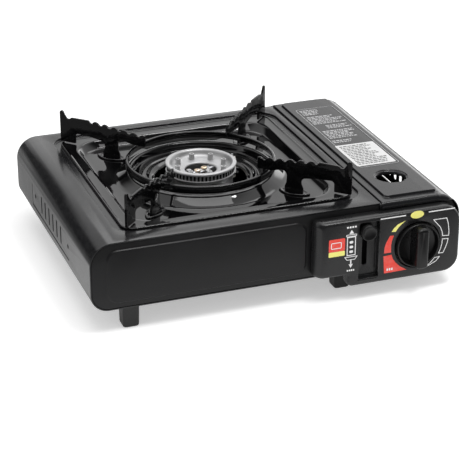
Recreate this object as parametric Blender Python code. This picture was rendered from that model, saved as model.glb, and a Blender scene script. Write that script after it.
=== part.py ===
"""Portable butane cassette stove.

A pressed steel body holds a round burner under an enamelled drip tray with a
four-armed pan support. The gas cartridge lies in a bay on the right, under a
hinged lid. A plastic control panel at the front carries the lock lever and
the gas knob, which turns the valve stem of the regulator behind it.

Sizes are in metres, +Z is up, and the stove looks towards -Y. X and Y are
centred on the whole stove, and Z is zero under its feet.
"""

import math

import bmesh
import bpy
from mathutils import Matrix, Vector

# ---------------------------------------------------------------- body
BODY_WIDTH = 0.340
BODY_DEPTH = 0.260
BODY_TOP = 0.085
BODY_UNDERSIDE = 0.023
SHEET = 0.001
TOP_CORNER_RADIUS = 0.020
BOTTOM_CORNER_RADIUS = 0.016
RIGHT_CORNER_RADIUS = 0.008
GAP = 0.0003

# ---------------------------------------------------------------- drip tray
TRAY_TO_PARTITION = 0.011
TRAY_Y = 0.003
TRAY_WIDTH = 0.213
TRAY_DEPTH = 0.219
TRAY_CORNER = 0.012
TRAY_SHEET = 0.0008
TRAY_RIM_HEIGHT = 0.0018
TRAY_FLOOR_DROP = 0.008
TRAY_RIM_BAND = 0.0110
TRAY_DISH_CORNER = 0.0260
TRAY_WALL_SLOPE = 0.005
HUB_FOOT_RADIUS = 0.0775
HUB_OUTER_RADIUS = 0.0672
HUB_INNER_RADIUS = 0.0642
HUB_INNER_FOOT_RADIUS = 0.0622
HUB_HEIGHT = 0.0075
TRAY_HOLE_RADIUS = 0.0420
TRAY_OPENING_MARGIN = 0.0075
LEDGE_WIDTH = 0.011
LEDGE_DROP = 0.0025
TRAY_LIFT = 0.060

# ---------------------------------------------------------------- pan support
ARM_SHEET = 0.0016
ARM_OUTER_RADIUS = 0.1495
ARM_INNER_RADIUS = 0.0575
ARM_TIP_HEIGHT = 0.031
ARM_REST_HEIGHT = 0.0255
ARM_TEETH = 6
TOOTH_DEPTH = 0.0022
TOOTH_FALL = 0.0055
ARM_ANGLES = {"fl": 226.0, "fr": 314.0, "bl": 134.0, "br": 46.0}
RING_OUTER_RADIUS = 0.0695
RING_BAND_WIDTH = 0.0035
RING_TOP_HEIGHT = 0.009
RING_BAND_HEIGHT = 0.007
RING_SHEET = 0.0014

# ---------------------------------------------------------------- burner
BURNER_RADIUS = 0.033
BURNER_TOP = 0.0905
BURNER_SKIRT_HEIGHT = 0.0115
BURNER_RIM_WIDTH = 0.0045
BURNER_DISH_DEPTH = 0.0064
BURNER_FLOOR = 0.0022
BURNER_THROAT_RADIUS = 0.0145
BURNER_POSTS = 8
POST_TURN = 2.5
POST_SET_IN = 0.0057
POST_RADIUS = 0.0025
POST_HEIGHT = 0.0052
BOWL_SET_IN = 0.0035
BOWL_BOTTOM = 0.054
BOWL_WALL = 0.002
BRIDGE_WIDTH = 0.007
BRIDGE_SHEET = 0.0015
BRIDGE_ANGLE = 28.0
BRIDGE_SCREW_SPACING = 0.009
MIX_TUBE_RADIUS = 0.0085
MIX_TUBE_WALL = 0.0012
MIX_TUBE_HEIGHT = 0.0648
BRACKET_WIDTH = 0.022
BRACKET_SPAN = 0.050

# ---------------------------------------------------------------- gas bay
CARTRIDGE_RADIUS = 0.034
CARTRIDGE_SIDE_ROOM = 0.004
PARTITION_ROOM = 0.006
CARTRIDGE_LENGTH = 0.185
CRADLE_DROP = 0.0095
CRADLE_FLANGE = 0.005
CRADLE_TO_BEND = 0.0007

# ---------------------------------------------------------------- lid
LID_EDGE_RISE = 0.001
LID_PANEL_RISE = 0.003
LID_TO_PARTITION = 0.0036
LID_STRIP_WIDTH = 0.0054
LID_SHOULDER_STRIP = 0.016
LID_OVERHANG = 0.003
LID_FLANGE_DROP = 0.0055
LID_SKIRT_BOTTOM = 0.040
LID_LEFT_FLANGE = 0.005
WALL_TOP_BELOW_SKIRT = 0.0015
HINGE_INSET = 0.0065
HINGE_ABOVE_SKIRT = 0.007
HINGE_PIN_RADIUS = 0.002
PIN_HEAD_RADIUS = 0.0032
EAR_SHEET = 0.0012
LID_OPEN_ANGLE = 100.0
LID_HOLE_RADIUS = 0.0135
LID_HOLE_OFFSET = 0.0055
LID_HOLE_FROM_FRONT = 0.047

# ---------------------------------------------------------------- side vents
VENT_COUNT = 6
VENT_PITCH = 0.0138
VENT_WIDTH = 0.005
VENT_BOTTOM = 0.046
VENT_TOP = 0.063
LID_VENT_PITCH = 0.0117
LID_VENT_WIDTH = 0.0062

# ---------------------------------------------------------------- control panel
PANEL_REACH = 0.0625
PANEL_RIGHT_CLEARANCE = 0.0015
PANEL_BOTTOM = 0.014
PANEL_LEFT_BOTTOM = 0.0255
PANEL_STEP = 0.0315
PANEL_BELOW_TOP = 0.0062
PANEL_PROUD = 0.0130
PANEL_WALL = 0.0022
RECESS_REACH = 0.0220
RECESS_WIDTH = 0.0190
RECESS_DEPTH = 0.0062
RECESS_BOTTOM = 0.0210
RECESS_TOP = 0.0745
SLOT_WIDTH = 0.0045
SLOT_LENGTH = 0.038
KNOB_OFFSET = 0.0058
KNOB_BELOW_CARTRIDGE = 0.0036
KNOB_WELL_RADIUS = 0.0220
KNOB_WELL_DEPTH = 0.0045

# ---------------------------------------------------------------- knob and lever
KNOB_RADIUS = 0.0205
KNOB_DISC = 0.0060
KNOB_GRIP_WIDTH = 0.0120
KNOB_GRIP_LENGTH = 0.0400
KNOB_GRIP_PROUD = 0.0125
KNOB_TURN = 130.0
STEM_RADIUS = 0.003
LEVER_TOP_Z = 0.0655
LEVER_TRAVEL = 0.024
LEVER_RADIUS = 0.0072
LEVER_PROUD = 0.006
CARRIAGE_TRAVEL = 0.006
FOLLOWER_RADIUS = 0.0015
CAM_EDGE = 0.002

# ---------------------------------------------------------------- regulator
REGULATOR_WIDTH = 0.036
REGULATOR_SCREW_REACH = 0.0135
REGULATOR_HEIGHT = CARTRIDGE_RADIUS
REGULATOR_DEPTH = 0.034
REGULATOR_FROM_FRONT = 0.014
JET_RADIUS = 0.0035

# ---------------------------------------------------------------- feet
FOOT_SIZE = 0.014
FOOT_COLLAR = 0.017
FOOT_COLLAR_HEIGHT = 0.0025
FOOT_SIDE_INSET = 0.037
FOOT_FRONT_INSET = 0.014
FOOT_REAR_INSET = 0.018
FOOT_TO_PARTITION = 0.025
FOOT_RIGHT_FRONT_INSET = 0.0215
SCREW_RADIUS = 0.0015
SCREW_HEAD_RADIUS = 0.003
SCREW_HEAD_HEIGHT = 0.0016

# ---------------------------------------------------------------- derived places
HALF_WIDTH = BODY_WIDTH / 2.0
CARTRIDGE_X = HALF_WIDTH - SHEET - CARTRIDGE_SIDE_ROOM - CARTRIDGE_RADIUS
PARTITION_X = CARTRIDGE_X - CARTRIDGE_RADIUS - PARTITION_ROOM
LID_LEFT = PARTITION_X + LID_TO_PARTITION
LID_PANEL_LEFT = LID_LEFT + LID_STRIP_WIDTH
LID_PANEL_RIGHT = HALF_WIDTH - LID_SHOULDER_STRIP
LID_HOLE_X = CARTRIDGE_X - LID_HOLE_OFFSET
PANEL_LEFT = PARTITION_X - PANEL_REACH
PANEL_STEP_X = PANEL_LEFT + PANEL_STEP
RECESS_LEFT = PARTITION_X - RECESS_REACH
KNOB_X = CARTRIDGE_X - KNOB_OFFSET
FOOT_RIGHT_X = PARTITION_X - FOOT_TO_PARTITION
TRAY_X = PARTITION_X - TRAY_TO_PARTITION - TRAY_WIDTH / 2.0
FRONT_OVERHANG = PANEL_PROUD + KNOB_GRIP_PROUD
MID_Y = (FRONT_OVERHANG - LID_OVERHANG) / 2.0
FRONT_Y = MID_Y - BODY_DEPTH / 2.0
BACK_Y = MID_Y + BODY_DEPTH / 2.0
PANEL_FACE_Y = FRONT_Y - PANEL_PROUD
PANEL_TOP = BODY_TOP - PANEL_BELOW_TOP
PANEL_RIGHT = HALF_WIDTH - SHEET - PANEL_RIGHT_CLEARANCE
LID_TOP = BODY_TOP + LID_PANEL_RISE
BURNER_CENTRE = Vector((TRAY_X, MID_Y + TRAY_Y, 0.0))
TRAY_HX = TRAY_WIDTH / 2.0
TRAY_HY = TRAY_DEPTH / 2.0
LEDGE_TOP = BODY_TOP - LEDGE_DROP
TRAY_RIM_Z = LEDGE_TOP + GAP
TRAY_FLOOR_Z = BODY_TOP - TRAY_FLOOR_DROP
HINGE_X = HALF_WIDTH - HINGE_INSET
HINGE_Z = LID_SKIRT_BOTTOM + HINGE_ABOVE_SKIRT
FLOOR_TOP = BODY_UNDERSIDE + SHEET
BURNER_DISH_RADIUS = BURNER_RADIUS - BURNER_RIM_WIDTH
POST_CIRCLE_RADIUS = BURNER_DISH_RADIUS - POST_SET_IN
BOWL_RADIUS = BURNER_RADIUS - BOWL_SET_IN
TROUGH_RADIUS = CARTRIDGE_RADIUS + SHEET
TROUGH_BOTTOM = BODY_UNDERSIDE - CRADLE_DROP
CARTRIDGE_Z = TROUGH_BOTTOM + SHEET + TROUGH_RADIUS
KNOB_Z = CARTRIDGE_Z - KNOB_BELOW_CARTRIDGE
SLOT_TOP = LEVER_TOP_Z + 0.004
REGULATOR_FRONT_Y = FRONT_Y + REGULATOR_FROM_FRONT
REGULATOR_BACK_Y = REGULATOR_FRONT_Y + REGULATOR_DEPTH
RECEPTACLE_Y = REGULATOR_BACK_Y + 0.010
PUSHER_Y = RECEPTACLE_Y + CARTRIDGE_LENGTH + 0.001
SLOT_X = RECESS_LEFT + 0.0078
RECESS_RIGHT = RECESS_LEFT + RECESS_WIDTH
RECESS_FLOOR_Y = PANEL_FACE_Y + RECESS_DEPTH
LINK_X = PARTITION_X - 0.0040
FOLLOWER_Y = FRONT_Y + 0.028
FOLLOWER_Z = FLOOR_TOP + GAP + LEVER_TRAVEL + FOLLOWER_RADIUS + GAP + CAM_EDGE
STRIP_X = PARTITION_X + SHEET + 0.0008
STRIP_SHEET = 0.0012
MIX_ENTRY_Y = FRONT_Y + 0.052
MIX_ENTRY_Z = 0.0530

# colour (linear), roughness and metallic value of each finish
FINISHES = {
    "painted_steel": ((0.012, 0.012, 0.013), 0.38, 0.0),
    "enamel": ((0.004, 0.004, 0.005), 0.08, 0.0),
    "zinc_steel": ((0.45, 0.46, 0.47), 0.35, 1.0),
    "aluminium": ((0.78, 0.78, 0.79), 0.30, 1.0),
    "brass": ((0.62, 0.43, 0.18), 0.30, 1.0),
    "black_plastic": ((0.020, 0.020, 0.021), 0.45, 0.0),
    "grey_diecast": ((0.35, 0.35, 0.36), 0.45, 1.0),
    "rubber": ((0.015, 0.015, 0.015), 0.75, 0.0),
    "ceramic": ((0.85, 0.84, 0.80), 0.35, 0.0),
    "red_cable": ((0.35, 0.02, 0.02), 0.50, 0.0),
}


# ================================================================ helpers
def clear_scene():
    """Remove whatever the scene holds."""
    for obj in list(bpy.data.objects):
        bpy.data.objects.remove(obj, do_unlink=True)


def finish_material(obj, finish):
    """Give an object its own Principled material."""
    colour, roughness, metallic = FINISHES[finish]
    material = bpy.data.materials.new(obj.name + "_material")
    material.use_nodes = True
    shader = material.node_tree.nodes["Principled BSDF"]
    shader.inputs["Base Color"].default_value = (*colour, 1.0)
    shader.inputs["Roughness"].default_value = roughness
    shader.inputs["Metallic"].default_value = metallic
    material.diffuse_color = (*colour, 1.0)
    obj.data.materials.append(material)


def object_from(name, bm, finish=None, location=(0.0, 0.0, 0.0)):
    """Turn a bmesh into a linked object, shaded smooth with sharp edges kept."""
    bmesh.ops.recalc_face_normals(bm, faces=bm.faces)
    mesh = bpy.data.meshes.new(name)
    bm.to_mesh(mesh)
    bm.free()
    mesh.shade_smooth()
    mesh.set_sharp_from_angle(angle=math.radians(35.0))
    obj = bpy.data.objects.new(name, mesh)
    obj.location = location
    bpy.context.scene.collection.objects.link(obj)
    if finish:
        finish_material(obj, finish)
    else:
        obj.hide_render = True
        obj.display_type = "WIRE"
    return obj


def boolean(target, tool, operation):
    """Cut, or join, a tool object with a target object."""
    modifier = target.modifiers.new(tool.name, "BOOLEAN")
    modifier.operation = operation
    modifier.solver = "EXACT"
    modifier.object = tool
    tool.hide_render = True
    tool.display_type = "WIRE"


def cut(target, tool):
    boolean(target, tool, "DIFFERENCE")


def join(target, tool):
    boolean(target, tool, "UNION")


def solidify(obj, thickness, offset=-1.0):
    """Give a surface the thickness of its sheet."""
    modifier = obj.modifiers.new("sheet", "SOLIDIFY")
    modifier.thickness = thickness
    modifier.offset = offset
    modifier.use_even_offset = True


PLANES = {
    "xy": lambda a, b, depth: Vector((a, b, depth)),
    "xz": lambda a, b, depth: Vector((a, depth, b)),
    "yz": lambda a, b, depth: Vector((depth, a, b)),
}


def prism_mesh(outline, plane, start, end):
    """A straight extrusion of a closed outline that lies in the named plane."""
    place = PLANES[plane]
    bm = bmesh.new()
    near = [bm.verts.new(place(a, b, start)) for a, b in outline]
    far = [bm.verts.new(place(a, b, end)) for a, b in outline]
    bm.faces.new(near)
    bm.faces.new(far)
    count = len(outline)
    for i in range(count):
        j = (i + 1) % count
        bm.faces.new((near[i], near[j], far[j], far[i]))
    return bm


def prism(name, outline, plane, start, end, finish=None):
    return object_from(name, prism_mesh(outline, plane, start, end), finish)


def box(name, x0, x1, y0, y1, z0, z1, finish=None):
    outline = [(x0, y0), (x1, y0), (x1, y1), (x0, y1)]
    return prism(name, outline, "xy", z0, z1, finish)


def arc(centre_a, centre_b, radius, start, end, steps):
    """Points on an arc, angles in degrees, both ends included."""
    points = []
    for i in range(steps + 1):
        angle = math.radians(start + (end - start) * i / steps)
        points.append((centre_a + radius * math.cos(angle), centre_b + radius * math.sin(angle)))
    return points


def rounded_rect(a0, a1, b0, b1, radius, steps=4, side_steps=1):
    """A closed rounded rectangle, counter-clockwise from its lower right corner."""
    corners = [
        (a1 - radius, b0 + radius, -90.0),
        (a1 - radius, b1 - radius, 0.0),
        (a0 + radius, b1 - radius, 90.0),
        (a0 + radius, b0 + radius, 180.0),
    ]
    arcs = [arc(a, b, radius, start, start + 90.0, steps) for a, b, start in corners]
    points = []
    for i, bend in enumerate(arcs):
        points += bend
        here = Vector(bend[-1])
        onward = Vector(arcs[(i + 1) % 4][0])
        points += [tuple(here.lerp(onward, k / side_steps)) for k in range(1, side_steps)]
    return points


def loft(loops, close_end=False, ring=False):
    """Bridge loops of equal length; ring joins the last loop to the first."""
    bm = bmesh.new()
    rows = [[bm.verts.new(point) for point in loop] for loop in loops]
    pairs = list(zip(rows, rows[1:]))
    if ring:
        pairs.append((rows[-1], rows[0]))
    for row, following in pairs:
        count = len(row)
        for i in range(count):
            j = (i + 1) % count
            bm.faces.new((row[i], row[j], following[j], following[i]))
    if close_end:
        bm.faces.new(rows[-1])
    return bm


def turned_mesh(profile, steps=32, cap=True):
    """Turn a profile of (radius, height) points round Z.

    Its ends are capped, or, when cap is False, joined into a closed ring.
    """
    loops = []
    for radius, height in profile:
        loops.append([Vector((a, b, height)) for a, b in arc(0.0, 0.0, radius, 0.0, 360.0, steps)[:-1]])
    bm = loft(loops, close_end=cap, ring=not cap)
    if cap:
        bm.verts.ensure_lookup_table()
        bm.faces.new([bm.verts[i] for i in range(steps)])
    return bm


AXIS_TURNS = {
    "z": Matrix.Identity(4),
    "x": Matrix.Rotation(math.radians(90.0), 4, "Y"),
    "-y": Matrix.Rotation(math.radians(90.0), 4, "X"),
}


def turned(name, profile, location, axis="z", steps=32, cap=True, finish=None):
    """A turned piece whose own Z lies along the named axis."""
    bm = turned_mesh(profile, steps, cap)
    bm.transform(AXIS_TURNS[axis])
    return object_from(name, bm, finish, location)


def cylinder(name, location, axis, radius, start, end, steps=24, finish=None):
    return turned(name, [(radius, start), (radius, end)], location, axis, steps, True, finish)


def pipe_mesh(points, radius, wall, sides=16):
    """A tube, or a rod when wall is None, through hand-placed points."""
    route = [Vector(point) for point in points]
    side = None
    outer = []
    inner = []
    for i, point in enumerate(route):
        ahead = route[min(i + 1, len(route) - 1)] - route[max(i - 1, 0)]
        ahead.normalize()
        if side is None:
            side = ahead.orthogonal().normalized()
        side = (side - ahead * side.dot(ahead)).normalized()
        up = ahead.cross(side)
        ring = [side * a + up * b for a, b in arc(0.0, 0.0, 1.0, 0.0, 360.0, sides)[:-1]]
        outer.append([point + spoke * radius for spoke in ring])
        if wall:
            inner.append([point + spoke * (radius - wall) for spoke in ring])
    if wall:
        return loft(outer + inner[::-1], ring=True)
    bm = loft(outer, close_end=True)
    bm.verts.ensure_lookup_table()
    bm.faces.new([bm.verts[i] for i in range(sides)])
    return bm


def vent_row(name, centre_y, count, pitch, width, bottom, top, x0, x1):
    """Upright round-ended slots in a side wall, as one cutter each."""
    cutters = []
    for i in range(count):
        y = centre_y + (i - (count - 1) / 2.0) * pitch
        outline = rounded_rect(y - width / 2.0, y + width / 2.0, bottom, top, width * 0.49, 3)
        cutters.append(prism(f"{name}_{i + 1}", outline, "yz", x0, x1))
    return cutters


# ================================================================ body pieces
def wrap_path(inset):
    """The bent outline of the body sheet, from its top edge round to its right wall."""
    left = -HALF_WIDTH + inset
    right = HALF_WIDTH - inset
    top = BODY_TOP - inset
    bottom = BODY_UNDERSIDE + inset
    top_r = TOP_CORNER_RADIUS - inset
    low_r = BOTTOM_CORNER_RADIUS - inset
    right_r = RIGHT_CORNER_RADIUS - inset
    points = [(LID_LEFT - SHEET, top)]
    points += arc(left + top_r, top - top_r, top_r, 90.0, 180.0, 8)
    points += arc(left + low_r, bottom + low_r, low_r, 180.0, 270.0, 6)
    points += arc(right - right_r, bottom + right_r, right_r, -90.0, 0.0, 5)
    points.append((right, LID_SKIRT_BOTTOM - WALL_TOP_BELOW_SKIRT))
    return points


def tray_loop(inset, height, steps=4, side_steps=1, corner=None):
    """A rounded rectangle round the tray, moved in from its rim."""
    hx = TRAY_HX - inset
    hy = TRAY_HY - inset
    radius = corner or max(TRAY_CORNER - inset, 0.002)
    outline = rounded_rect(-hx, hx, -hy, hy, radius, steps, side_steps)
    return [Vector((x, y, height)) for x, y in outline]


def body_shell():
    """The bent sheet: top, left side, floor and the low wall under the lid."""
    outline = wrap_path(0.0) + wrap_path(SHEET)[::-1]
    shell = prism("body_shell", outline, "xz", FRONT_Y, BACK_Y, "painted_steel")
    corner = TRAY_CORNER + TRAY_OPENING_MARGIN + SHEET * 0.4
    opening = [loop + BURNER_CENTRE for loop in tray_loop(-TRAY_OPENING_MARGIN, 0.0, corner=corner)]
    cut(shell, prism("tray_opening", [(p.x, p.y) for p in opening], "xy", BODY_TOP - 0.004, BODY_TOP + 0.004))
    lip = -TRAY_OPENING_MARGIN
    section = [
        (lip - SHEET / 2.0, BODY_TOP - SHEET / 4.0),
        (lip + SHEET / 2.0, BODY_TOP - SHEET / 4.0),
        (lip + SHEET / 2.0, LEDGE_TOP),
        (lip + LEDGE_WIDTH, LEDGE_TOP),
        (lip + LEDGE_WIDTH, LEDGE_TOP - SHEET),
        (lip - SHEET / 2.0, LEDGE_TOP - SHEET),
    ]
    ledge = object_from("tray_ledge", loft([tray_loop(d, z) for d, z in section], ring=True))
    ledge.location = BURNER_CENTRE
    join(shell, ledge)
    for cutter in vent_row("left_vent", MID_Y, VENT_COUNT, VENT_PITCH, VENT_WIDTH, VENT_BOTTOM,
                           VENT_TOP, -HALF_WIDTH - 0.004, -HALF_WIDTH + 0.004):
        cut(shell, cutter)
    trough_half = math.sqrt((TROUGH_RADIUS + SHEET) ** 2 - (CARTRIDGE_Z - FLOOR_TOP) ** 2) + 0.001
    cut(shell, box("trough_opening", CARTRIDGE_X - trough_half, CARTRIDGE_X + trough_half,
                   REGULATOR_BACK_Y - GAP, PUSHER_Y + 0.006, BODY_UNDERSIDE - 0.002, FLOOR_TOP + 0.002))
    for i in range(5):
        x = TRAY_X + (i - 2) * 0.016
        outline = rounded_rect(x - 0.003, x + 0.003, MID_Y - 0.085, MID_Y - 0.045, 0.0029, 3)
        cut(shell, prism(f"floor_vent_{i + 1}", outline, "xy", BODY_UNDERSIDE - 0.002, FLOOR_TOP + 0.002))
    for key, (x, y) in foot_places().items():
        cut(shell, cylinder(f"foot_hole_{key}", (x, y, 0.0), "z", SCREW_RADIUS + GAP,
                            BODY_UNDERSIDE - 0.002, FLOOR_TOP + 0.002, 12))
    return shell


def end_outline(inset):
    """The outline of an end plate that fits inside the body sheet and the lid."""
    left = -HALF_WIDTH + inset
    right = HALF_WIDTH - inset
    top = BODY_TOP - inset
    bottom = BODY_UNDERSIDE + inset
    low_r = BOTTOM_CORNER_RADIUS - inset
    top_r = TOP_CORNER_RADIUS - inset
    right_r = RIGHT_CORNER_RADIUS - inset
    points = arc(right - right_r, bottom + right_r, right_r, -90.0, 0.0, 6)
    points += arc(right - top_r, top - top_r, top_r, 0.0, 90.0, 6)
    points += arc(left + top_r, top - top_r, top_r, 90.0, 180.0, 6)
    points += arc(left + low_r, bottom + low_r, low_r, 180.0, 270.0, 6)
    return points


def end_plate(name, face_y, inward, emboss_right):
    """A pressed end plate with a shallow rounded panel raised on it."""
    inset = SHEET + GAP
    outer = [Vector((x, face_y, z)) for x, z in end_outline(inset)]
    left = -HALF_WIDTH + 0.0140
    low = BODY_UNDERSIDE + 0.0055
    high = BODY_TOP - 0.0065
    loops = [outer]
    for shrink, depth in ((0.0, 0.0), (0.0016, 0.0014)):
        outline = rounded_rect(left + shrink, emboss_right - shrink, low + shrink, high - shrink, 0.010, 6)
        loops.append([Vector((x, face_y - inward * depth, z)) for x, z in outline])
    plate = object_from(name, loft(loops, close_end=True), "painted_steel")
    solidify(plate, SHEET)
    return plate


def front_panel():
    """The front plate, with holes for the stem, the lever and the screws."""
    plate = end_plate("front_panel", FRONT_Y, 1.0, PANEL_LEFT - 0.004)
    reach = (FRONT_Y - 0.003, FRONT_Y + 0.005)
    cut(plate, cylinder("stem_hole", (KNOB_X, 0.0, KNOB_Z), "-y", STEM_RADIUS + 0.0055,
                        -reach[1], -reach[0], 20))
    slot = rounded_rect(SLOT_X - SLOT_WIDTH / 2.0, SLOT_X + SLOT_WIDTH / 2.0,
                        SLOT_TOP - SLOT_LENGTH, SLOT_TOP, 0.002, 3)
    cut(plate, prism("lever_slot_in_plate", slot, "xz", *reach))
    cut(plate, cylinder("front_pin_hole", (HINGE_X, 0.0, HINGE_Z), "-y", HINGE_PIN_RADIUS + GAP,
                        -reach[1], -reach[0], 16))
    for i, (x, z) in enumerate(regulator_screw_places() + panel_screw_places()):
        cut(plate, cylinder(f"front_screw_hole_{i + 1}", (x, 0.0, z), "-y", SCREW_RADIUS + GAP,
                            -reach[1], -reach[0], 12))
    return plate


def back_panel():
    plate = end_plate("back_panel", BACK_Y, -1.0, LID_LEFT - 0.008)
    cut(plate, cylinder("back_pin_hole", (HINGE_X, 0.0, HINGE_Z), "-y", HINGE_PIN_RADIUS + GAP,
                        -BACK_Y - 0.003, -BACK_Y + 0.005, 16))
    return plate


def partition_wall():
    """The heat shield between the burner and the gas bay."""
    inset = SHEET + GAP
    wall = box("partition_wall", PARTITION_X, PARTITION_X + SHEET, FRONT_Y + 0.0032, BACK_Y - 0.0032,
               FLOOR_TOP + GAP, BODY_TOP - inset, "zinc_steel")
    x0 = PARTITION_X - 0.002
    x1 = PARTITION_X + 0.004
    window = rounded_rect(FOLLOWER_Y - CARRIAGE_TRAVEL - 0.005, FOLLOWER_Y + 0.005,
                          FOLLOWER_Z - 0.004, FOLLOWER_Z + 0.004, 0.002, 3)
    cut(wall, prism("follower_window", window, "yz", x0, x1))
    cut(wall, cylinder("jet_hole", (0.0, MIX_ENTRY_Y, MIX_ENTRY_Z), "x", JET_RADIUS + 0.003, x0, x1, 20))
    cut(wall, cylinder("lead_hole", (0.0, LEAD_WALL_Y, LEAD_WALL_Z), "x", 0.003, x0, x1, 16))
    for i, y in enumerate(rivet_places()):
        cut(wall, cylinder(f"rivet_hole_{i + 1}", (0.0, y, RIVET_Z), "x", RIVET_RADIUS + GAP, x0, x1, 12))
    return wall


def cartridge_cradle():
    """The pressed trough that the cartridge lies in, hung in the floor."""
    half = math.sqrt(TROUGH_RADIUS ** 2 - (CARTRIDGE_Z - FLOOR_TOP - GAP - SHEET) ** 2)
    angle = math.degrees(math.asin((CARTRIDGE_Z - FLOOR_TOP - GAP - SHEET) / TROUGH_RADIUS))
    low = FLOOR_TOP + GAP
    high = low + SHEET
    inner = [(CARTRIDGE_X - half - CRADLE_FLANGE, high)]
    inner += arc(CARTRIDGE_X, CARTRIDGE_Z, TROUGH_RADIUS, 180.0 + angle, 360.0 - angle, 10)
    right = HALF_WIDTH - RIGHT_CORNER_RADIUS - CRADLE_TO_BEND
    inner.append((right, high))
    outer_r = TROUGH_RADIUS + SHEET
    outer_angle = math.degrees(math.asin((CARTRIDGE_Z - low) / outer_r))
    outer = [(CARTRIDGE_X - half - CRADLE_FLANGE, low)]
    outer += arc(CARTRIDGE_X, CARTRIDGE_Z, outer_r, 180.0 + outer_angle, 360.0 - outer_angle, 10)
    outer.append((right, low))
    start = REGULATOR_BACK_Y + GAP
    end = PUSHER_Y + 0.005
    cradle = prism("cartridge_cradle", inner + outer[::-1], "xz", start, end, "painted_steel")
    segment = arc(CARTRIDGE_X, CARTRIDGE_Z, TROUGH_RADIUS + SHEET / 2.0, 180.0 + angle, 360.0 - angle, 10)
    for label, y in (("front", start), ("back", end - SHEET)):
        join(cradle, prism(f"trough_end_{label}", segment, "xz", y, y + SHEET))
    return cradle


# ================================================================ tray and pan support
def drip_tray():
    """The enamelled tray: a rim on the body ledge, a floor and a raised hub."""
    base = tray_loop(0.0, 0.0, 3, 8)

    def round_loop(radius, height):
        return [p.normalized() * radius + Vector((0.0, 0.0, height)) for p in base]

    rim_top = TRAY_RIM_Z + TRAY_RIM_HEIGHT
    hub_top = TRAY_FLOOR_Z + HUB_HEIGHT
    loops = [
        tray_loop(0.0, TRAY_RIM_Z + TRAY_SHEET, 3, 8),
        tray_loop(0.0012, rim_top, 3, 8),
        tray_loop(TRAY_RIM_BAND, rim_top, 3, 8, TRAY_DISH_CORNER),
        tray_loop(TRAY_RIM_BAND + TRAY_WALL_SLOPE, TRAY_FLOOR_Z, 3, 8, TRAY_DISH_CORNER - 0.002),
        round_loop(HUB_FOOT_RADIUS, TRAY_FLOOR_Z),
        round_loop(HUB_OUTER_RADIUS, hub_top),
        round_loop(HUB_INNER_RADIUS, hub_top),
        round_loop(HUB_INNER_FOOT_RADIUS, TRAY_FLOOR_Z),
        round_loop(TRAY_HOLE_RADIUS + 0.003, TRAY_FLOOR_Z),
        round_loop(TRAY_HOLE_RADIUS, TRAY_FLOOR_Z - 0.002),
    ]
    tray = object_from("drip_tray", loft(loops), "enamel")
    tray.location = BURNER_CENTRE
    solidify(tray, TRAY_SHEET)
    return tray


def arm_outline():
    """One pan-support arm in its own plane, as (radius, height) points."""
    base = TRAY_RIM_Z + TRAY_RIM_HEIGHT + GAP
    floor = TRAY_FLOOR_Z + GAP
    tip = BODY_TOP + ARM_TIP_HEIGHT
    rest = BODY_TOP + ARM_REST_HEIGHT
    outer = ARM_OUTER_RADIUS
    points = [(outer, base)]
    points += arc(outer - 0.0022, tip - 0.0022, 0.0022, 0.0, 150.0, 5)
    points += [(outer - 0.0075, rest - 0.0015), (outer - 0.0095, rest - 0.0018), (outer - 0.0125, rest)]
    flat_end = outer - 0.0310
    pitch = (flat_end - ARM_INNER_RADIUS) / ARM_TEETH
    points.append((flat_end, rest))
    for i in range(ARM_TEETH):
        fall = TOOTH_FALL * (i + 0.45) / ARM_TEETH
        points.append((flat_end - pitch * (i + 0.32), rest - fall - TOOTH_DEPTH))
        points.append((flat_end - pitch * (i + 0.62), rest - fall))
        points.append((flat_end - pitch * (i + 0.90), rest - fall - 0.0003))
    ring_top = BODY_TOP + RING_TOP_HEIGHT + GAP
    points.append((ARM_INNER_RADIUS, rest - TOOTH_FALL - TOOTH_DEPTH))
    points.append((ARM_INNER_RADIUS, ring_top))
    points.append((RING_OUTER_RADIUS + 0.0025, ring_top))
    points += arc(ARM_MID_INNER - 0.004, ARM_INNER_ARCH_TOP - 0.004, 0.004, 90.0, 0.0, 3)
    points += [(ARM_MID_INNER, floor), (ARM_MID_OUTER, floor)]
    points += arc(ARM_MID_OUTER + 0.005, ARM_ARCH_TOP - ARM_ARCH_FALL - 0.005, 0.005, 180.0, 95.0, 3)
    points += arc(ARM_LEG_INNER - 0.003, ARM_ARCH_TOP - 0.003, 0.003, 90.0, 0.0, 3)
    points.append((ARM_LEG_INNER, base))
    return points


ARM_MID_INNER = 0.0870
ARM_MID_OUTER = 0.1010
ARM_LEG_INNER = 0.1330
ARM_ARCH_TOP = BODY_TOP + 0.0100
ARM_ARCH_FALL = 0.0024
ARM_INNER_ARCH_TOP = BODY_TOP + 0.0120


def trivet_arm(key):
    """A stamped arm standing on the tray, turned to its corner."""
    half = ARM_SHEET / 2.0
    arm = prism(f"trivet_arm_{key}", arm_outline(), "xz", -half, half, "enamel")
    arm.location = BURNER_CENTRE
    arm.rotation_euler = (0.0, 0.0, math.radians(ARM_ANGLES[key]))
    return arm


def trivet_ring():
    """The pressed ring under the inner ends of the arms."""
    top = BODY_TOP + RING_TOP_HEIGHT
    low = top - RING_BAND_HEIGHT
    outer = RING_OUTER_RADIUS
    inner = outer - RING_BAND_WIDTH
    section = [
        (outer, low), (outer, top), (inner, top), (inner, top - RING_SHEET),
        (outer - RING_SHEET, top - RING_SHEET), (outer - RING_SHEET, low),
    ]
    return turned("trivet_ring", section, BURNER_CENTRE, "z", 48, False, "enamel")


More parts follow.
